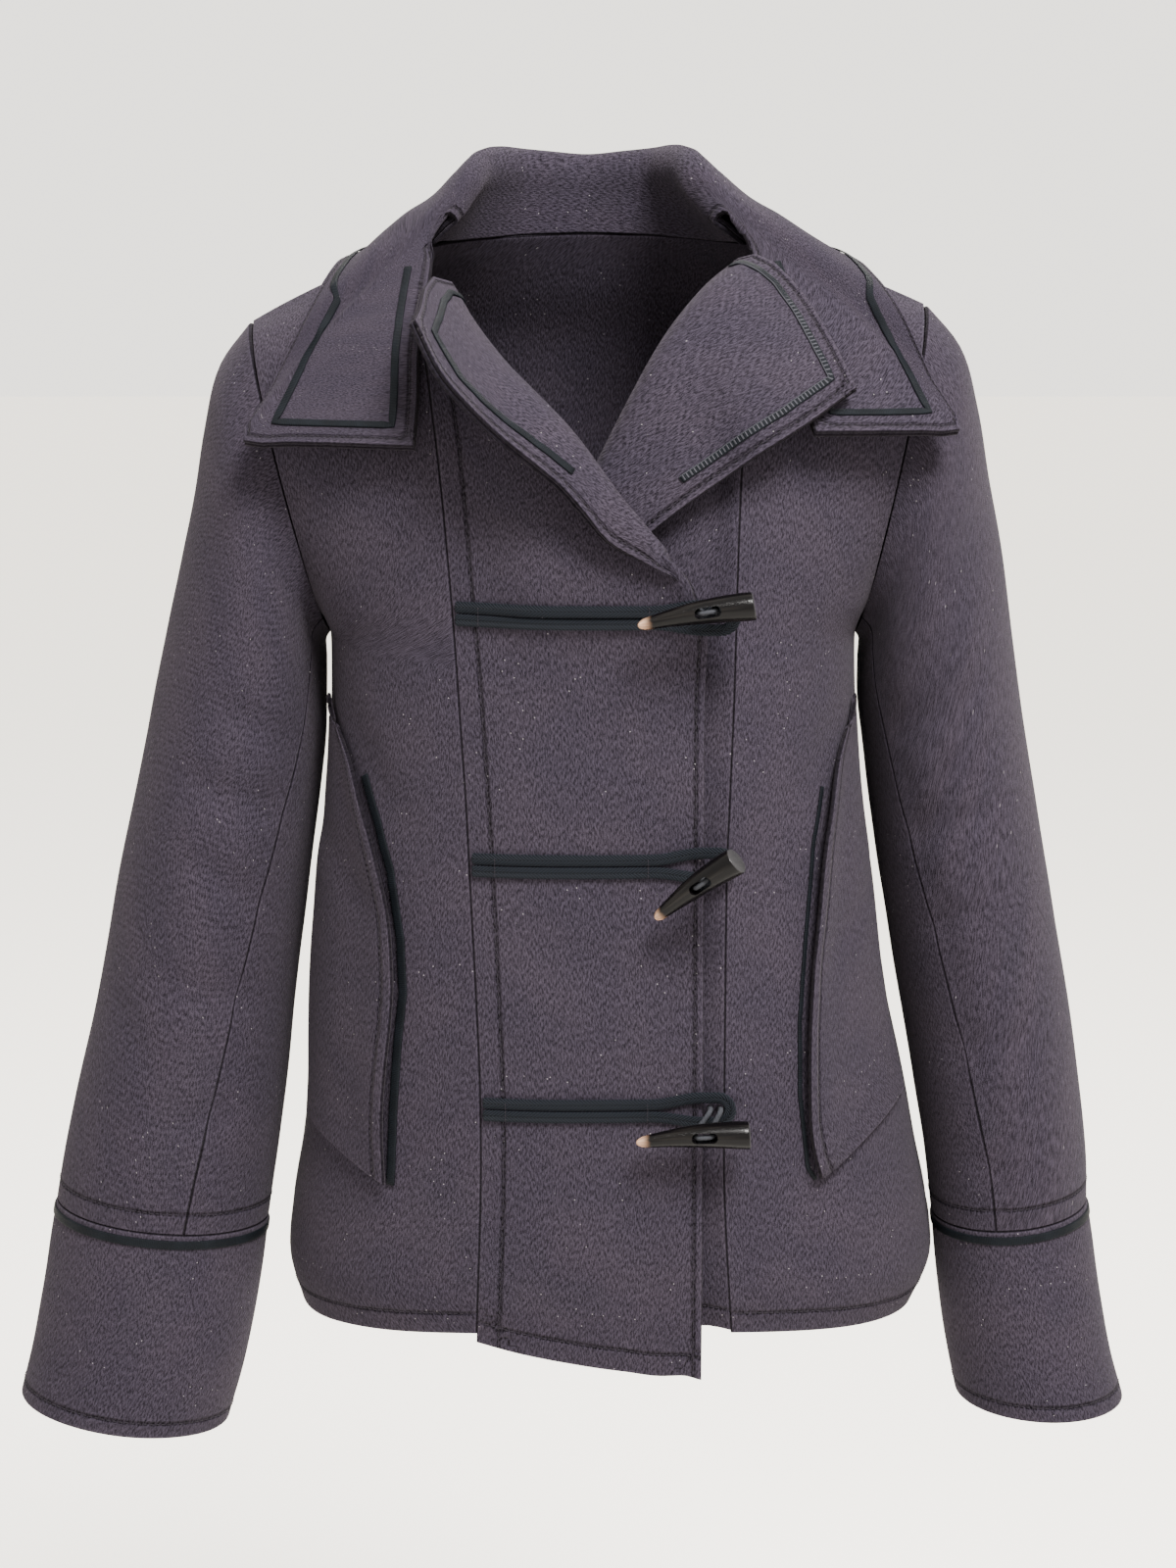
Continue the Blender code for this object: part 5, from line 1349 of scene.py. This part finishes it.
def strap(number, row, band):
    """A braid cord laid double from the band seam, its loop round the toggle's cord."""
    start = -(seam_x(RIGHT, row.strap_z) - 1 * MM)
    apart = LANE_APART / 2
    upper = [(x, apart + (LOOP_RADIUS - apart) * smoothstep(STRAP_FLAT_X, LOOP_X - 8 * MM, x))
             for x in np.linspace(start, LOOP_X, 33)]
    for turn in map(math.radians, range(15, 91, 15)):
        upper.append((LOOP_X + LOOP_RADIUS * math.sin(turn), LOOP_RADIUS * math.cos(turn)))
    outline = upper + [(x, -half) for x, half in upper[-2::-1]]
    rest = STRAP_GAP + LANE_THICK / 2
    path = [(x, ahead_of(band, min(x, OVERLAP_X), row.strap_z + half) - rest, row.strap_z + half)
            for x, half in outline]
    sweep(f"strap_{number}", np.array(path), [(0, -1, 0)] * len(path), LANE_WIDE, LANE_THICK, "braid",
          BRAID_STEP, 20, braided)
    for x in (start + STRAP_BAR, STRAP_FLAT_X - 2 * MM):
        z = row.strap_z + np.linspace(-1, 1, 9) * (LANE_APART + LANE_WIDE) / 2
        bar = np.array([(x, ahead_of(band, x, height) - rest - LANE_THICK * 0.5, height) for height in z])
        BARS.append((bar, np.broadcast_to((0.0, -1.0, 0.0), bar.shape)))


HORN_PROFILE = (
    (0.0, 0.0004), (0.006, 0.0011), (0.02, 0.0018), (0.05, 0.0027), (0.25, 0.0042), (0.5, 0.0058),
    (0.75, 0.0068), (0.95, 0.0073), (0.985, 0.0072), (0.996, 0.0069), (1.0, 0.0064),
)
HORN_SIDES, HORN_RINGS, SLOT_SIDES, SLOT_REACH = 44, 90, 40, 12 * MM
# The profile is smooth between these places, and has corners before and after them
HORN_SMOOTH = (0.05, 0.94)
# Toggles are placed from the band here; their cord passes before, behind and below the horn
HORN_REST_X = 0.030
CORD_BEFORE, CORD_BEHIND, CORD_BELOW = 3.0 * MM, 8.5 * MM, 2.6 * MM


def horn_rings(tip, axis, across, up, length):
    """The horn's sections, closer together at its tip and its butt, and slightly uneven."""
    low, high = HORN_SMOOTH
    alongs = np.concatenate([np.linspace(0, low, 10)[:-1], np.linspace(low, high, HORN_RINGS),
                             np.linspace(high, 1.0, 14)[1:]])
    keys, values = np.array(HORN_PROFILE).T
    radii = np.where((alongs > low) & (alongs < high), spline(keys, values, alongs),
                     np.interp(alongs, keys, values))
    turns = np.arange(HORN_SIDES) * 2 * math.pi / HORN_SIDES
    centres = tip + axis * length * alongs[:, None] - across * HORN_BOW * np.sin(np.pi * alongs)[:, None]
    around = across * np.cos(turns)[:, None] + up * np.sin(turns)[:, None]
    carved = 1 + 0.012 * np.sin(3 * turns + alongs[:, None] * 5) + 0.006 * np.sin(7 * turns)
    return centres[:, None] + around[None] * (radii[:, None] * carved)[..., None]


def slot_rings(centre, axis, across, up):
    """The two ends of the slot's cutter: a long section with round ends."""
    ends = []
    for turn in np.arange(SLOT_SIDES) * 2 * math.pi / SLOT_SIDES:
        run = math.copysign(SLOT_LONG / 2 - SLOT_WIDE / 2, math.cos(turn))
        ends.append(axis * (run + SLOT_WIDE / 2 * math.cos(turn)) + across * SLOT_WIDE / 2 * math.sin(turn))
    return np.array([[centre + up * depth + end for end in ends] for depth in (-SLOT_REACH, SLOT_REACH)])


def cut_away(rings, cutter_rings):
    """The points and faces of one strip with another one cut out of it."""
    whole, cutter = (plain_object(name, *tube_mesh(shape))
                     for name, shape in (("whole", rings), ("cutter", cutter_rings)))
    cut = whole.modifiers.new("Cut", "BOOLEAN")
    cut.operation, cut.object, cut.solver = "DIFFERENCE", cutter, "EXACT"
    mesh = bpy.data.meshes.new_from_object(whole.evaluated_get(bpy.context.evaluated_depsgraph_get()))
    for spare in (whole, cutter):
        bpy.data.objects.remove(spare, do_unlink=True)
    return np.array([vertex.co for vertex in mesh.vertices]), [tuple(face.vertices) for face in mesh.polygons]


def toggle(number, row, band, under):
    middle = ahead_of(band, HORN_REST_X, row.strap_z)
    tip = np.array((row.tip_x, middle - row.tip_off, row.tip_z))
    butt = np.array((row.butt_x, middle - row.butt_off, row.butt_z))
    axis, length = unit(butt - tip), np.linalg.norm(butt - tip)
    up = unit(np.array((0, -1.0, 0)) - axis * np.dot((0, -1.0, 0), axis))
    across = np.cross(axis, up)
    centre = tip + axis * length * SLOT_AT - across * HORN_BOW * math.sin(math.pi * SLOT_AT)
    points, faces = cut_away(horn_rings(tip, axis, across, up, length), slot_rings(centre, axis, across, up))
    from_tip = points - tip
    uvs = np.stack([from_tip @ axis / length, np.arctan2(from_tip @ up, from_tip @ across) / math.pi], axis=1)
    made = mesh_piece(f"toggle_{number}_horn", points, faces, "horn", f"toggle_{number}", uvs=uvs)
    made.data.set_sharp_from_angle(angle=math.radians(40))
    reach = SLOT_LONG / 2 - CORD_RADIUS - 0.5 * MM
    front = centre + up * CORD_BEFORE
    legs = []
    for sign, x in zip((-1, 1), LEG_X):
        hole = axis * sign * reach
        foot = np.array((x, ahead_of(under, x, row.strap_z) - 1.0 * MM, row.strap_z))
        below = np.array((x, middle - CORD_BELOW, row.strap_z))
        legs.append([foot, below, centre - up * CORD_BEHIND + hole * 0.8, centre + hole, front + hole * 0.7])
    route = np.array(legs[0] + [front + up * 0.8 * MM] + legs[1][::-1])
    path = smooth_route(route, 60)
    sweep(f"toggle_cord_{number}", path, frame_along(path), 2 * CORD_RADIUS, 2 * CORD_RADIUS, "cord",
          CORD_STEP, 18, twisted)


def smooth_route(route, count):
    """Evenly spaced points on a curve through a few chosen points."""
    gaps = np.linalg.norm(np.diff(route, axis=0), axis=1)
    keys = np.concatenate([[0], np.cumsum(np.sqrt(gaps))])
    return curve_through(route, keys, np.linspace(0, keys[-1], count))


def plain_object(name, points, faces):
    mesh = bpy.data.meshes.new(name)
    mesh.from_pydata(points.tolist(), [], faces)
    made = bpy.data.objects.new(name, mesh)
    bpy.context.scene.collection.objects.link(made)
    return made


def collar_ribbon(upper):
    """Up one front end of the collar, round its whole edge, and down the other front end."""
    grid, normals = upper.grid, upper.normals
    last = len(grid) - 1
    rows = [(0, j) for j in (-5, -4, -3, -2)] + [(i, -1) for i in range(last + 1)]
    rows += [(last, j) for j in (-2, -3, -4, -5)]
    edge, outs = ([values[place] for place in rows] for values in (grid, normals))
    path = smoothed(even(inset(edge, outs, RIBBON_INSET), 5 * MM), 30)
    ribbon("collar_ribbon", path, [outward(point) for point in path], [upper.outer], gap=0.9 * MM)


def lapel_ribbon(side, facing):
    """Along the lapel's top edge from the roll line, then down its free edge."""
    grid, normals = facing.grid, -facing.normals
    columns = range(7, grid.shape[1]) if side == RIGHT else range(grid.shape[1] - 8, -1, -1)
    last = -1 if side == RIGHT else 0
    rows = [i for i in range(len(grid) - 2, 0, -1) if grid[i, last, 2] > LAPEL_RIBBON_END_Z]
    edge = [grid[-1, j] for j in columns] + [grid[i, last] for i in rows]
    outs = [normals[-1, j] for j in columns] + [normals[i, last] for i in rows]
    path = even(inset(edge, outs, -RIBBON_INSET * side), 5 * MM)
    spread = np.linspace(0, len(outs) - 1, len(path)).astype(int)
    ribbon(f"lapel_ribbon_{WORDS[side]}", path, np.array(outs)[spread], [facing.inner],
           look="ladder" if side == LEFT else "ribbon")


def cuff_ribbon(side):
    """A tape all round the cuff, just below its seam."""
    rows = np.array(CUFFS[side])
    top, bottom = (ring_points(Cuff(*row_at(rows, place)), np.arange(0, 360, 3)) * (side, 1, 1)
                   for place in CUFF_TAPE)
    out = unit((top - top.mean(axis=0)) * (1, 1, 0.2))
    lift = out * (CLOTH / 2 + 0.5 * SEAM_GAP) + relief(top)[:, None] * out
    shape, uvs = tape(top + lift, bottom + lift, out, lengths(top), RIBBON_WIDE)
    count = shape.shape[0] * shape.shape[1]
    faces = [tuple(corner % count for corner in cell)[::side]
             for cell in cells_of(np.ones(shape.shape[:2], bool), shape.shape[1])]
    name = f"cuff_ribbon_{WORDS[side]}"
    mesh_piece(f"{name}_tape", shape.reshape(-1, 3), faces, "ribbon", name, uvs=uvs)


CUFF_TAPE = (0.10, 0.26)
POCKET_TRIM = {RIGHT: 5.0 * MM, LEFT: 2.4 * MM}


def pocket(side, front):
    edge = np.array(POCKET_EDGES[side])
    top, bottom = POCKET_SIDE_Z[side]
    grid = []
    for share in np.linspace(0, 1, 11):
        x_edge, z_edge = row_at(edge, share * (len(edge) - 1))
        z_side = top + (bottom - top) * share
        half = row_at(TORSO[side, False], level_at(side * x_edge, z_side))[2]
        x_side = half * POCKET_SIDE_SHARE
        row = []
        for across in np.linspace(0, 1, 7):
            x = x_edge + (x_side - x_edge) * across
            z = z_edge + (z_side - z_edge) * across
            flare = POCKET_FLARE * (1 - smoothstep(0, 0.5, across)) * smoothstep(0, 0.2, share)
            flare *= 1 - smoothstep(0.9, 1.0, share) * 0.8
            lift = CLOTH + POCKET_GAP + flare
            row.append(front_point(side * x, z) + front_normal(side * x, z) * lift)
        grid.append(row)
    grid = np.array(grid)[::-1]
    wall(f"pocket_{WORDS[side]}", grid if side == LEFT else grid[:, ::-1])
    path = [front_point(side * (x - 1.5 * MM), z) for x, z in edge[1:]]
    path = even(np.array(path), 7 * MM)
    outs = [front_normal(point[0], point[2]) for point in path]
    ribbon(f"pocket_trim_{WORDS[side]}", path, outs, [front.outer], wide=POCKET_TRIM[side])


def beside(fine, border, distance, face):
    """A path on the cloth's face that stays this far inside one of its edges."""
    flip = border in ("last", "high")
    turned = border in ("low", "high")
    points, normals, half, reach, used = fine.points, fine.normals, fine.half, fine.across, fine.used
    if turned:
        points, normals = (values.transpose(1, 0, 2) for values in (points, normals))
        half, reach, used = half.T, fine.down.T, used.T
    if flip:
        points, normals, half, used = (values[:, ::-1] for values in (points, normals, half, used))
        reach = reach[:, -1:] - reach[:, ::-1]
    path, outs = [], []
    for i in range(len(points)):
        if not used[i, 0] or reach[i, -1] < 2 * distance:
            continue
        place = float(np.interp(distance, reach[i], np.arange(len(reach[i]))))
        j = min(int(place), len(reach[i]) - 2)
        share = place - j
        point, out = (values[i, j] * (1 - share) + values[i, j + 1] * share for values in (points, normals))
        path.append(point + out * (fine.offset + face * half[i, j]))
        outs.append(out * face)
    return np.array(path), np.array(outs)


def stitches(path, outs, pitch=STITCH_PITCH, long=STITCH_LONG, skip=5 * MM):
    """A row of stitches along a path: each one a short bulging thread that dips in at its ends."""
    run = lengths(path)
    count = int((run[-1] - 2 * skip) / pitch)
    shares, bulges = np.array(STITCH_RINGS).T
    at = (skip + np.arange(count) * pitch)[:, None] + long / 2 + shares * long
    spots, ways = (np.stack([np.interp(at, run, values[:, i]) for i in range(3)], axis=-1)
                   for values in (path, outs))
    ways = unit(ways)
    side = unit(np.cross(ways, unit(spots[:, -1] - spots[:, 0])[:, None]))
    dips = (bulges - 1) * STITCH_RADIUS * 1.2 + STITCH_RADIUS - STITCH_SINK
    turns = np.arange(STITCH_SIDES) * 2 * math.pi / STITCH_SIDES
    around = side[:, :, None] * np.cos(turns)[:, None] + ways[:, :, None] * np.sin(turns)[:, None]
    centres = spots + ways * dips[:, None]
    points = (centres[:, :, None] + around * (bulges * STITCH_RADIUS)[:, None, None]).reshape(-1, 3)
    size = len(shares) * STITCH_SIDES
    faces = [tuple(base + i for i in face[::-1]) for base in range(0, count * size, size)
             for face in strip_faces(len(shares), STITCH_SIDES)]
    uvs = np.stack([np.repeat(at.ravel(), STITCH_SIDES),
                    np.tile(turns * STITCH_RADIUS, count * len(shares))], axis=1)
    return points, faces, uvs


def sew():
    """All of the stitched lines: one piece for each node that carries them, and one for each bar."""
    pieces = {}
    for node, lines in STITCHED.items():
        pieces[f"{node}_stitches"] = [stitches(*beside(FINE[node], border, distance, shown_face(node)))
                                      for border, distance in lines.items()]
    for number, bar in enumerate(BARS, 1):
        pieces[f"strap_stitches_{number}"] = [stitches(*bar, pitch=BAR_PITCH, long=BAR_PITCH, skip=0.4 * MM)]
    for name, rows in pieces.items():
        faces, base = [], 0
        for points, row_faces, _ in rows:
            faces += [tuple(base + i for i in face) for face in row_faces]
            base += len(points)
        points, uvs = (np.concatenate([row[i] for row in rows]) for i in (0, 2))
        mesh_piece(name, points, faces, "thread", slot="cord", uvs=uvs)


def build():
    back = back_panel()
    fronts = {side: front_panel(side) for side in (RIGHT, LEFT)}
    sleeves = {side: sleeve(side) for side in (RIGHT, LEFT)}
    bodies = [back, *fronts.values()]
    for pieces in sleeves.values():
        bodies += pieces.values()
    chest = [bare(band_flat(side)[1]) for side in (RIGHT, LEFT)]
    under, upper = collar(bodies + chest)
    band = bands([*fronts.values(), *chest, under, upper])
    collar_ribbon(upper)
    for side in (RIGHT, LEFT):
        cuff(side)
        cuff_ribbon(side)
        lapel_ribbon(side, band[side, "facing"])
        pocket(side, fronts[side])
    for number, row in enumerate(TOGGLES, 1):
        strap(number, row, band[RIGHT])
        toggle(number, row, band[RIGHT], band[LEFT])
    sew()


# Stage: the camera looks slightly down at the front, and the floor lies far below the jacket
CAMERA_AT, CAMERA_TILT, CAMERA_LENS, SENSOR_HEIGHT = (0.0, -1.80, 0.056), 79, 76.5, 36
FLOOR_Z, FLOOR_HALF = -1.15, 14.0
AIR_STRENGTH = 3.00
Lamp = namedtuple("Lamp", "name place target size power colour")
LAMPS = (
    Lamp("key", (0.8, -1.7, 2.1), (0.0, 0.0, -0.20), 1.0, 430, (1.0, 0.98, 0.96)),
    Lamp("back", (0.3, 1.9, 1.8), (0.0, 0.0, -0.25), 1.4, 110, (1.0, 0.98, 0.96)),
)


def stage():
    scene = bpy.context.scene
    camera = bpy.data.objects.new("camera", bpy.data.cameras.new("camera"))
    camera.location = CAMERA_AT
    camera.rotation_euler = (math.radians(CAMERA_TILT), 0, 0)
    camera.data.sensor_fit = "VERTICAL"
    camera.data.sensor_height = SENSOR_HEIGHT
    camera.data.lens = CAMERA_LENS
    scene.collection.objects.link(camera)
    scene.camera = camera
    corners = np.array([(-1, -1, 0), (1, -1, 0), (1, 1, 0), (-1, 1, 0)]) * FLOOR_HALF + (0, 0, FLOOR_Z)
    floor = plain_object("floor", corners, [(0, 1, 2, 3)])
    floor.data.materials.append(LOOKS["floor"])
    for lamp in LAMPS:
        light = bpy.data.lights.new(lamp.name, "AREA")
        light.size, light.energy, light.color = lamp.size, lamp.power, lamp.colour
        made = bpy.data.objects.new(lamp.name, light)
        made.location = lamp.place
        aim = Vector(lamp.target) - Vector(lamp.place)
        made.rotation_euler = aim.to_track_quat("-Z", "Y").to_euler()
        scene.collection.objects.link(made)
    world = bpy.data.worlds.new("air")
    world.use_nodes = True
    background = world.node_tree.nodes["Background"].inputs
    background["Color"].default_value, background["Strength"].default_value = AIR, AIR_STRENGTH
    scene.world = world


stage()
build()
